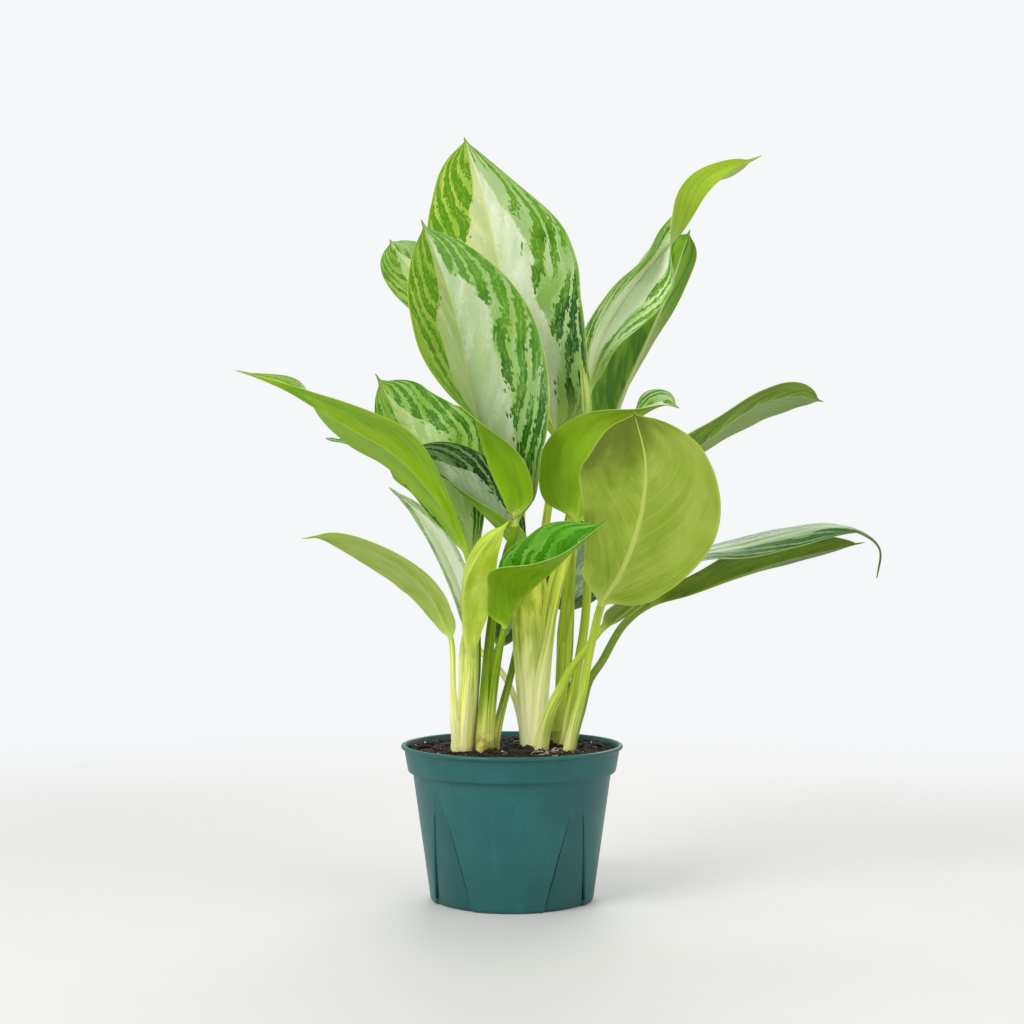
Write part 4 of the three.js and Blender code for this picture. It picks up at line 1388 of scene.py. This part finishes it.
            rib=srgb(120, 146, 90), reach=0.4, streaks=0.8,
        ),
        under=Under(base=srgb(90, 120, 40), shade=srgb(64, 92, 24)),
        sheath=Sheath.CANE, seed=163,
    ),
    Leaf(
        "leaf_back_left",
        stalk=(
            (-34, -3, 94, 3, 3), (-34, -1, 140, 2.6, 2.6), (-34, 6, 168, 2.4, 2.4),
            (-28, 22, 204, 2.4, 2.4),
        ),
        midrib=((-29, 34, 240), (-51, 44, 270), (-76, 52, 293), (-105, 58, 310), (-133, 62, 317)),
        half_width=12, widest=0.42, tip=1,
        roll=(-70, -70), left=(20, 20), right=(20, 20),
        left_share=(0.5, 0.4, 0.4, 0.6),
        upper=Upper(
            silver=srgb(176, 200, 140), middle=srgb(120, 164, 70), dark=srgb(64, 116, 30), reach=0.4,
            streaks=0.6,
        ),
        sheath=Sheath.LEFT, seed=167,
    ),
    Leaf(
        "leaf_back_low_left",
        stalk=((-17, -4, 110, 3, 3), (-17, -2, 137, 2.4, 2.4), (-14, 10, 155, 2, 2)),
        midrib=((-10, 30, 170), (-4, 44, 183), (3, 60, 202), (7, 74, 230)),
        half_width=10, widest=0.42, tip=1,
        roll=(-90, -90), left=(15, 15), right=(15, 15),
        upper=Upper(
            silver=srgb(130, 150, 110), middle=srgb(66, 98, 44), dark=srgb(30, 58, 16), reach=0.35,
            streaks=0.8,
        ),
        under=Under(base=srgb(90, 120, 40), shade=srgb(64, 92, 24)),
        sheath=Sheath.CENTRE_LEFT, seed=173,
    ),
)


# ------------------------------------------------------------------ stems


@dataclass
class Stem:
    """The bundle of young sheaths or cane that a shoot's stalks clasp.

    Attributes:
        name: The CAD node that it stands for.
        path: Rows of x, y, z, half width and half depth.
        flutes: How many folded sheaths show round it.
        depth: How deep the grooves between them are, as a share of the radius.
        sheath: Its look.
        columns: Its corners at each ring.
        steps: Its rings to each stretch of the path.
    """

    name: str
    path: Sequence[Row]
    flutes: int
    depth: float
    sheath: Sheath
    columns: int = 48
    steps: int = 10

    def ring(self, middle: Vector, forward: Vector, share: float, wide: float, deep: float) -> Ring:
        """A fluted section.

        Args:
            middle: Its middle.
            forward: The stem's direction there.
            share: The place along the stem.
            wide: Its half width.
            deep: Its half depth.
        Returns:
            The ring.
        """
        across = Vector((1, 0, 0))
        across = (across - forward * across.dot(forward)).normalized()
        back = forward.cross(across)
        made = []
        for j in range(self.columns):
            turn = math.tau * j / self.columns
            wander = 0.5 * noise.noise(Vector((share * 2.5, self.flutes, math.cos(turn))))
            groove = abs(math.sin(self.flutes * (turn + wander) / 2))
            size = 0.98 - self.depth * (1 - groove) ** 2
            beside = middle + across * (wide * size * math.cos(turn))
            made.append(beside + back * (deep * size * math.sin(turn)))
        return made

    def build(self) -> bpy.types.Object:
        """The stem as one finished piece.

        Returns:
            The piece's object.
        """
        route = Route([Vector(row[:3]) for row in self.path])
        stretches = len(self.path) - 1
        total = stretches * self.steps
        rings = []
        for i in range(total + 1):
            index = i / self.steps
            low = min(int(index), stretches - 1)
            share = index / stretches
            sizes = (mix(self.path[low][k], self.path[low + 1][k], index - low) for k in (3, 4))
            rings.append(self.ring(route.place(share), route.heading(share), share, *sizes))
        bm, _ = loft(rings)
        layer = bm.loops.layers.uv[MAP]
        for face in bm.faces:
            for corner in face.loops:
                uv = corner[layer].uv
                corner[layer].uv = (uv.x / total, uv.y / self.columns)
        name = f"sheaths_{self.name.removeprefix('stem_')}"
        return piece(name, bm, [self.sheath.value.material(f"{name}_finish")], self.name)


STEMS = (
    Stem(
        "stem_left",
        path=(
            (-35, -9, 88, 7.4, 5.6), (-35, -9, 100, 7.4, 5.6), (-33, -8, 124, 6.9, 5.1),
            (-31, -7, 146, 5.6, 4.4), (-30, -7, 166, 4.2, 3.7), (-29, -7, 182, 2.4, 2.4),
        ),
        flutes=5, depth=0.15, sheath=Sheath.LEFT,
    ),
    Stem(
        "stem_centre_left",
        path=(
            (-18, -8, 88, 6, 5), (-18, -8, 102, 6, 5), (-17, -8, 138, 4.4, 4.2), (-16, -9, 166, 3.4, 3.4),
            (-14, -10, 186, 2.5, 2.5),
        ),
        flutes=4, depth=0.14, sheath=Sheath.CENTRE_LEFT,
    ),
    Stem(
        "stem_centre_fan",
        path=(
            (16, 10, 88, 9, 6), (16, 10, 100, 9, 6), (14, 10, 134, 10.3, 6), (14, 10, 168, 13.6, 6),
            (13, 11, 192, 13.6, 5.6), (13, 12, 208, 12.4, 5), (16, 15, 228, 7.8, 4.2),
            (20, 20, 248, 3.2, 3.2),
        ),
        flutes=9, depth=0.22, sheath=Sheath.FAN, columns=72,
    ),
    Stem(
        "stem_right_cane",
        path=(
            (34, 25, 88, 4.9, 4.9), (34, 25, 100, 4.9, 4.9), (33, 25, 109, 4.9, 4.9), (33, 25, 113, 6.3, 6.1),
            (33, 25, 117, 4.9, 4.9), (35, 25, 147, 4.5, 4.5), (37, 25, 180, 5.8, 4.7), (40, 26, 211, 4.4, 4),
            (42, 27, 238, 3, 3),
        ),
        flutes=3, depth=0.1, sheath=Sheath.CANE,
    ),
)


# ------------------------------------------------------------------ pot

# Places across a panel's side step, in its widths, and how far in the panel each lies.
STEP_PROFILE = ((-0.25, 0.0), (0.0, 0.04), (0.22, 0.3), (0.5, 0.62), (0.78, 0.92), (1.0, 1.0))


@dataclass
class Pot:
    """The moulded nursery pot: lip, band, recessed panels, slots and drain holes."""

    band_foot: float = 88.0
    foot_radius: float = 56.0
    top_radius: float = 68.0
    corner: float = 2.6
    wall: float = 1.4
    floor: float = 2.2
    floor_radii: Row = (30.0, 18.0, 4.0)  # of the flat rings in the floor
    panels: int = 4
    first_angle: float = -48.0
    apex: float = 81.0  # the height of the panels' upper corner
    foot_half: float = 20.0  # half a panel's width in degrees at the foot
    apex_half: float = 2.0
    step: float = 1.0  # the width in degrees of a panel's side step
    recess: float = 1.9
    panel_columns: int = 12  # stretches across a panel
    wall_columns: int = 24  # stretches between two panels
    slot_ends: Row = (4.0, 64.0)  # the heights between which a slot narrows to its end
    slot_radii: Row = (0.95, 0.3)
    slot_reach: float = 9.0  # how much deeper than wide the cutter of a slot is
    drains: int = 8
    drain_place: float = 34.0
    drain_radius: float = 3.5
    drain_depth: float = 8.0  # of the cutter, which reaches past both sides of the floor
    finish: PotPlastic = PotPlastic()

    def body_radius(self, z: float) -> float:
        """The outer radius of the body below its band."""
        return mix(self.foot_radius, self.top_radius, (z - self.corner) / (self.band_foot - self.corner))

    def panel_half(self, z: float) -> float:
        """Half a panel's width in degrees at a height up to its apex."""
        return mix(self.foot_half, self.apex_half, z / self.apex)

    def columns(self, z: float) -> list[tuple[float, float]]:
        """Where the pot's columns are.

        Args:
            z: The height.
        Returns:
            Each column's angle in degrees, and how far in the panel it lies, 0 to 1.
        """
        half = self.panel_half(min(z, self.apex))
        inner = half - self.step
        spread = 360 / self.panels
        within, between = self.panel_columns, self.wall_columns
        out = -STEP_PROFILE[0][0] * self.step
        made = []
        for p in range(self.panels):
            middle = self.first_angle + p * spread
            made += [(middle - half + self.step * x, share) for x, share in STEP_PROFILE]
            made += [(middle + mix(-inner, inner, k / within), 1.0) for k in range(1, within)]
            made += [(middle + half - self.step * x, share) for x, share in reversed(STEP_PROFILE)]
            low, high = half + out, spread - half - out
            made += [(middle + mix(low, high, k / between), 0.0) for k in range(1, between)]
        return made

    def ring(
        self,
        z: float,
        radius: float,
        lift: Optional[Callable[[float, float], float]] = None,
        panelled: bool = True,
    ) -> Ring:
        """A section.

        Args:
            z: Its height.
            radius: Its radius between the panels.
            lift: What is added to the height at a place x, y.
            panelled: Whether it has the panels of its height, or none.
        Returns:
            The ring.
        """
        level = z if panelled else self.apex
        depth = self.recess * max(0.0, 1 - level / self.apex)
        made = []
        for angle, share in self.columns(level):
            r = radius - share * depth
            x, y = r * math.sin(math.radians(angle)), -r * math.cos(math.radians(angle))
            made.append(Vector((x, y, z + (lift(x, y) if lift else 0.0))))
        return made

    def outline(self) -> list[tuple[float, float]]:
        """The wall's outline.

        Returns:
            Height and radius, up the outside, over the lip and down the inside.
        """
        made = [(0.0, self.floor_radii[0]), (0.0, self.foot_radius - self.corner)]
        for degrees in (22.5, 45, 67.5, 90):
            turn = math.radians(degrees)
            r = self.foot_radius - self.corner * (1 - math.sin(turn))
            made.append((self.corner * (1 - math.cos(turn)), r))
        made += [(z, self.body_radius(z)) for z in range(5, 86, 3)]
        # the step out to the band, the band and the rolled lip
        made += [(86.4, self.top_radius - 0.2), (87.4, self.top_radius + 0.1), (87.9, self.top_radius + 0.7)]
        made += [(88.1, 70.2), (88.4, 70.9), (89.0, 71.25), (90.0, 71.42)]
        made += [(z, mix(71.2, 73.8, (z - self.band_foot) / 15.5)) for z in (93.0, 97.0, 101.0, 102.6)]
        made += [(103.3, 74.05), (103.6, 74.6), (103.8, 75.2), (104.2, 75.7), (104.8, 75.98), (105.4, 75.95)]
        made += [(106.0, 75.6), (106.35, 75.0), (106.5, 74.3), (106.4, 73.6), (106.1, 73.1), (105.5, 72.8)]
        # down the inside to the floor
        made += [(103.5, 72.4), (97.0, 71.3), (90.0, 70.15), (89.2, 69.9), (88.2, 69.2), (87.2, 66.6)]
        made += [(z, self.body_radius(z) - self.wall) for z in range(80, 4, -5)]
        made += [(self.floor + 0.7, 54.0), (self.floor, 53.0), (self.floor, self.floor_radii[0])]
        return made

    def cut_slot(self, bm: bmesh.types.BMesh, angle: float, side: int) -> None:
        """Adds the cutter of one slot, which lies along a panel's side step.

        Args:
            bm: What it is added to.
            angle: The panel's middle in degrees.
            side: Which side of the panel, -1 or 1.
        """
        ends = []
        for z in self.slot_ends:
            turn = math.radians(angle + side * (self.panel_half(z) - self.step / 2))
            r = self.body_radius(z) - self.wall
            ends.append(Vector((r * math.sin(turn), -r * math.cos(turn), z)) * MM)
        rise = ends[1] - ends[0]
        middle = (ends[0] + ends[1]) / 2
        upward = rise.normalized()
        sideways = Vector((middle.x, middle.y, 0)).normalized().cross(upward).normalized()
        turned = Matrix((sideways, upward.cross(sideways), upward)).transposed().to_4x4()
        quarter = Matrix.Rotation(math.radians(45), 4, "Z")
        place = Matrix.Translation(middle) @ turned @ Matrix.Diagonal((1, self.slot_reach, 1, 1)) @ quarter
        low, high = (r * MM for r in self.slot_radii)
        sizes = {"radius1": low, "radius2": high, "depth": rise.length}
        bmesh.ops.create_cone(bm, cap_ends=True, segments=4, matrix=place, **sizes)

    def cutters(self) -> bpy.types.Object:
        """The slots beside the panels and the drain holes in the floor.

        Returns:
            One solid to cut away.
        """
        bm = bmesh.new()
        for p in range(self.panels):
            for side in (-1, 1):
                self.cut_slot(bm, self.first_angle + p * 360 / self.panels, side)
        out, r = self.drain_place, self.drain_radius * MM
        sizes = {"radius1": r, "radius2": r, "depth": self.drain_depth * MM}
        for k in range(self.drains):
            turn = math.tau * (k + 0.5) / self.drains
            spot = Vector((out * math.cos(turn), out * math.sin(turn), self.floor / 2)) * MM
            place = Matrix.Translation(spot)
            bmesh.ops.create_cone(bm, cap_ends=True, segments=32, matrix=place, **sizes)
        return place_in_scene("cutters", mesh_from("cutters", bm))

    def build(self) -> bpy.types.Object:
        """The pot as one finished piece, with how far in a panel each column is in its UV map.

        Returns:
            The piece's object.
        """
        rings = [self.ring(z, r) for z, r in self.outline()]
        for r in self.floor_radii[1:]:
            rings.insert(0, [Vector((p.x, p.y, 0)).normalized() * r for p in rings[0]])
            up = Vector((0, 0, self.floor))
            rings.append([Vector((p.x, p.y, 0)).normalized() * r + up for p in rings[-1]])
        bm, _ = loft(rings)
        shares = [share for _, share in self.columns(0.0)]
        layer = bm.loops.layers.uv[MAP]
        for face in bm.faces:
            for corner in face.loops:
                column = round(corner[layer].uv.y) % len(shares)
                corner[layer].uv = (0.0, shares[column])
        made = piece("pot_shell", bm, [self.finish.material("pot_finish")], "pot")
        cutters = self.cutters()
        cut = made.modifiers.new("openings", "BOOLEAN")
        cut.operation = "DIFFERENCE"
        cut.solver = "EXACT"
        cut.object = cutters
        graph = bpy.context.evaluated_depsgraph_get()
        whole = bpy.data.meshes.new_from_object(made.evaluated_get(graph))
        made.modifiers.clear()
        spare = (made.data, cutters.data)
        made.data = whole
        whole.name = "pot_shell"
        bpy.data.objects.remove(cutters)
        for mesh in spare:
            bpy.data.meshes.remove(mesh)
        whole.set_sharp_from_angle(angle=math.radians(50))
        LOG.info("pot after cutting: %d faces", len(whole.polygons))
        return made


# ------------------------------------------------------------------ soil


@dataclass(frozen=True)
class Litter:
    """One kind of bit that lies on the soil.

    Attributes:
        name: The piece's name.
        count: How many there are.
        least: Their least half length in millimetres.
        greatest: Their greatest half length.
        flat: Their thickness as a share of their length.
        finish: Their look.
    """

    name: str
    count: int
    least: float
    greatest: float
    flat: float
    finish: Grain


LITTER = (
    Litter("soil_bark", 620, 1.0, 5.6, 0.3, Grain(srgb(14, 7, 6), srgb(84, 50, 38))),
    Litter("soil_crumbs", 900, 0.5, 1.5, 0.75, Grain(srgb(10, 6, 5), srgb(34, 20, 17))),
    Litter("soil_grit", 60, 0.5, 1.5, 0.8, Grain(srgb(214, 208, 192), srgb(178, 168, 148))),
)


@dataclass
class Soil:
    """The soil, with the bark, grit and root bits that lie on it."""

    pot: Pot
    top: float = 102.3
    rim: float = 71.0
    foot: float = 2.6
    gap: float = 0.45  # between the soil and the pot's wall
    spread: float = 70.0  # how far from the middle its bits lie
    rows: int = 56  # rings in its surface
    row_power: float = 0.9  # below 1, so that they lie closer together near the middle
    threads: int = 70
    thread_length: Row = (3.0, 11.0)  # the least and greatest
    thread_half: Row = (0.16, 0.42)  # the least and greatest half width
    thread_bends: int = 4
    thread_corners: int = 5  # of its rings
    thread_rows: int = 6
    near: Row = (30.0, -12.0)  # the place by the stems' feet round which most threads lie
    near_spread: float = 9.0
    near_share: float = 0.6  # share of them that does
    seed: int = 5
    earth: Grain = Grain(srgb(12, 7, 6), srgb(30, 18, 15), scale=260, relief=0.0014)
    root: Grain = Grain(srgb(206, 186, 150), srgb(150, 120, 88), scale=300, roughness=0.7, relief=0.0003)

    def lift(self, x: float, y: float) -> float:
        """How far the surface stands above its mean height at a place.

        Args:
            x: The place to the right.
            y: The place to the back.
        Returns:
            The height in millimetres.
        """
        coarse = math.sin(x * 0.21 + 1.3) * math.cos(y * 0.17 - 0.6)
        fine = math.sin(x * 0.47 - y * 0.39 + 2.1)
        lumps = noise.noise(Vector((x * 0.22, y * 0.22, 1.0)))
        lumps += 0.6 * noise.noise(Vector((x * 0.6, y * 0.6, 5.0)))
        return 0.9 * (0.65 * coarse + 0.35 * fine) + 1.9 * lumps

    def build(self) -> None:
        """Makes the soil's pieces."""
        pot = self.pot
        clear = pot.wall + self.gap
        rings = [pot.ring(self.foot, r, panelled=False) for r in (8.0, 40.0)]
        walls = [(self.foot, 52.0)]
        walls += [(z, pot.body_radius(z) - clear) for z in (5, 15, 26, 40, 54, 68, 80, 87)]
        walls += [(89.5, 69.3), (96.0, 70.6), (100.5, self.rim + 0.2)]
        rings += [pot.ring(z, r) for z, r in walls]
        for k in range(self.rows):
            share = 1 - (k / self.rows) ** self.row_power
            rings.append(pot.ring(self.top, max(self.rim * share, 0.8), self.lift))
        bm, _ = loft(rings)
        piece("soil_bed", bm, [self.earth.material("soil_finish")], "soil")
        chance = random.Random(self.seed)
        for litter in LITTER:
            self.scatter(litter, chance)
        self.fibres(chance)

    def spot(self, chance: random.Random, high: float) -> Vector:
        """A place over the surface.

        Args:
            chance: Where the random numbers come from.
            high: How far above the surface it is.
        Returns:
            The place.
        """
        r = self.spread * math.sqrt(chance.random())
        turn = chance.uniform(0, math.tau)
        x, y = r * math.cos(turn), r * math.sin(turn)
        return Vector((x, y, self.top + self.lift(x, y) + high))

    def scatter(self, litter: Litter, chance: random.Random) -> None:
        """Strews bits over the surface.

        Args:
            litter: What they are.
            chance: Where the random numbers come from.
        """
        bm = bmesh.new()
        for _ in range(litter.count):
            size = mix(litter.least, litter.greatest, chance.random() ** 2)
            thick = size * litter.flat
            place = self.spot(chance, thick * chance.uniform(0.0, 0.5))
            stretch = Matrix.Diagonal((size * MM, size * chance.uniform(0.35, 0.8) * MM, thick * MM, 1))
            turn = Matrix.Rotation(chance.uniform(0, math.tau), 4, "Z")
            tilt = Matrix.Rotation(chance.gauss(0, 0.35), 4, "X")
            tilt = tilt @ Matrix.Rotation(chance.gauss(0, 0.3), 4, "Y")
            shape = Matrix.Translation(place * MM) @ turn @ tilt @ stretch
            bits = bmesh.ops.create_icosphere(bm, subdivisions=1, radius=1.0, matrix=shape)
            for vertex in bits["verts"]:
                vertex.co += Vector(chance.uniform(-0.16, 0.16) * thick * MM for _ in range(3))
        piece(litter.name, bm, [litter.finish.material(f"{litter.name}_finish")])

    def thread_route(self, chance: random.Random) -> Route:
        """The line of one root thread, most likely near the stems' feet.

        Args:
            chance: Where the random numbers come from.
        Returns:
            The line.
        """
        start = self.spot(chance, 0.4)
        if chance.random() < self.near_share:
            start = Vector((*(chance.gauss(middle, self.near_spread) for middle in self.near), 0))
            start.z = self.top + self.lift(start.x, start.y) + 0.5
        heading = chance.uniform(0, math.tau)
        length = chance.uniform(*self.thread_length)
        points = [start]
        for _ in range(self.thread_bends):
            heading += chance.gauss(0, 0.5)
            stride = Vector((math.cos(heading), math.sin(heading), 0)) * length / self.thread_bends
            point = points[-1] + stride
            point.z = self.top + self.lift(point.x, point.y) + chance.uniform(0.2, 1.0)
            points.append(point)
        return Route(points)

    def fibres(self, chance: random.Random) -> None:
        """Strews pale root threads.

        Args:
            chance: Where the random numbers come from.
        """
        bm = bmesh.new()
        turns = [math.tau * j / self.thread_corners for j in range(self.thread_corners)]
        for _ in range(self.threads):
            line = self.thread_route(chance)
            thick = chance.uniform(*self.thread_half)
            rings = []
            for k in range(self.thread_rows + 1):
                share = k / self.thread_rows
                forward = line.heading(share)
                side = forward.cross(Vector((0, 0, 1))).normalized()
                up = side.cross(forward)
                size = thick * (1 - 0.5 * k / self.thread_rows)
                middle = line.place(share)
                ring = [middle + side * (size * math.cos(t)) + up * (size * math.sin(t)) for t in turns]
                rings.append(ring)
            thread, _ = loft(rings)
            spare = mesh_from("thread", thread)
            bm.from_mesh(spare)
            bpy.data.meshes.remove(spare)
        piece("soil_roots", bm, [self.root.material("soil_roots_finish")])


# ------------------------------------------------------------------ studio


@dataclass(frozen=True)
class Lamp:
    """A soft square light: its name, place in metres, size, power in watts and colour."""

    name: str
    place: Row
    size: float
    power: float
    colour: Colour


@dataclass
class Studio:
    """Floor, lights, surroundings and camera."""

    eye: Row = (0.0, -1.49, 0.288)
    lens: float = 76.5
    pitch: float = 0.87  # degrees that the camera looks down
    aim: Row = (0, 0, 0.25)  # the plant's middle, which the lights face
    floor_radius: float = 1.4
    fade: Row = (1.1, 0.35)  # distances at which the floor is gone and still whole
    floor_grey: Colour = (0.66, 0.66, 0.66)
    floor_cool: Colour = (0.645, 0.65, 0.655)
    backdrop: Colour = srgb(246, 247, 249)
    sky: Colour = (1.0, 1.0, 0.97)
    sky_strength: float = 0.7
    lamps: tuple[Lamp, ...] = (
        Lamp("key", (-1.1, -1.2, 1.35), 1.0, 25.0, (1.0, 0.98, 0.95)),
        Lamp("fill", (1.3, -1.0, 0.7), 1.3, 6.0, (1.0, 1.0, 0.98)),
        Lamp("rear", (0.3, 1.4, 1.3), 1.2, 13.0, (1.0, 1.0, 0.96)),
    )

    def floor(self) -> None:
        """Lays a pale floor that fades into the surroundings with distance."""
        bm = bmesh.new()
        bmesh.ops.create_circle(bm, cap_ends=True, segments=96, radius=self.floor_radius)
        mesh = mesh_from("floor", bm)
        g = Graph("floor_finish")
        place = g.place()
        x, y, _ = g.split(place)
        distance = g.calc("SQRT", x * x + y * y)
        tone = g.blend(g.noise(place, 30.0), self.floor_grey, self.floor_cool)
        g.set(Base_Color=tone, Roughness=0.6, Alpha=g.ease(distance, *self.fade))
        mesh.materials.append(g.material)
        place_in_scene("floor", mesh)

    def light(self, lamp: Lamp) -> None:
        """Sets up one light, which faces the plant's middle.

        Args:
            lamp: The light.
        """
        data = bpy.data.lights.new(lamp.name, "AREA")
        data.size, data.energy, data.color = lamp.size, lamp.power, lamp.colour
        obj = place_in_scene(lamp.name, data)
        obj.location = lamp.place
        aim = Vector(self.aim) - Vector(lamp.place)
        obj.rotation_euler = aim.to_track_quat("-Z", "Y").to_euler()

    def surroundings(self) -> None:
        """Sets near white behind the plant, and a dimmer white that lights it."""
        world = bpy.data.worlds.new("surroundings")
        bpy.context.scene.world = world
        world.use_nodes = True
        tree = world.node_tree
        tree.nodes.clear()
        kinds = ("OutputWorld", "MixShader", "LightPath", "Background", "Background")
        output, mixer, seen, shown, lit = (tree.nodes.new(f"ShaderNode{kind}") for kind in kinds)
        shown.inputs["Color"].default_value = (*self.backdrop, 1)
        lit.inputs["Color"].default_value = (*self.sky, 1)
        lit.inputs["Strength"].default_value = self.sky_strength
        for i, source in enumerate((seen.outputs["Is Camera Ray"], lit.outputs[0], shown.outputs[0])):
            tree.links.new(source, mixer.inputs[i])
        tree.links.new(mixer.outputs[0], output.inputs[0])

    def camera(self) -> None:
        """Puts the camera at the photograph's place."""
        data = bpy.data.cameras.new("camera")
        data.lens, data.sensor_width, data.clip_start = self.lens, 36.0, 0.05
        obj = place_in_scene("camera", data)
        obj.location = self.eye
        obj.rotation_euler = (math.radians(90 - self.pitch), 0, 0)
        bpy.context.scene.camera = obj

    def build(self) -> None:
        """Sets up the whole studio."""
        settings = bpy.context.scene.view_settings
        settings.view_transform = "Standard"
        settings.look = "None"
        self.floor()
        self.surroundings()
        for lamp in self.lamps:
            self.light(lamp)
        self.camera()


def main() -> None:
    """Builds the dressed plant and its studio."""
    logging.basicConfig(level=logging.INFO, format="%(name)s: %(message)s")
    pot = Pot()
    pot.build()
    Soil(pot).build()
    for stem in STEMS:
        stem.build()
    for leaf in LEAVES:
        leaf.build()
    Studio().build()


if __name__ == "__main__":
    main()
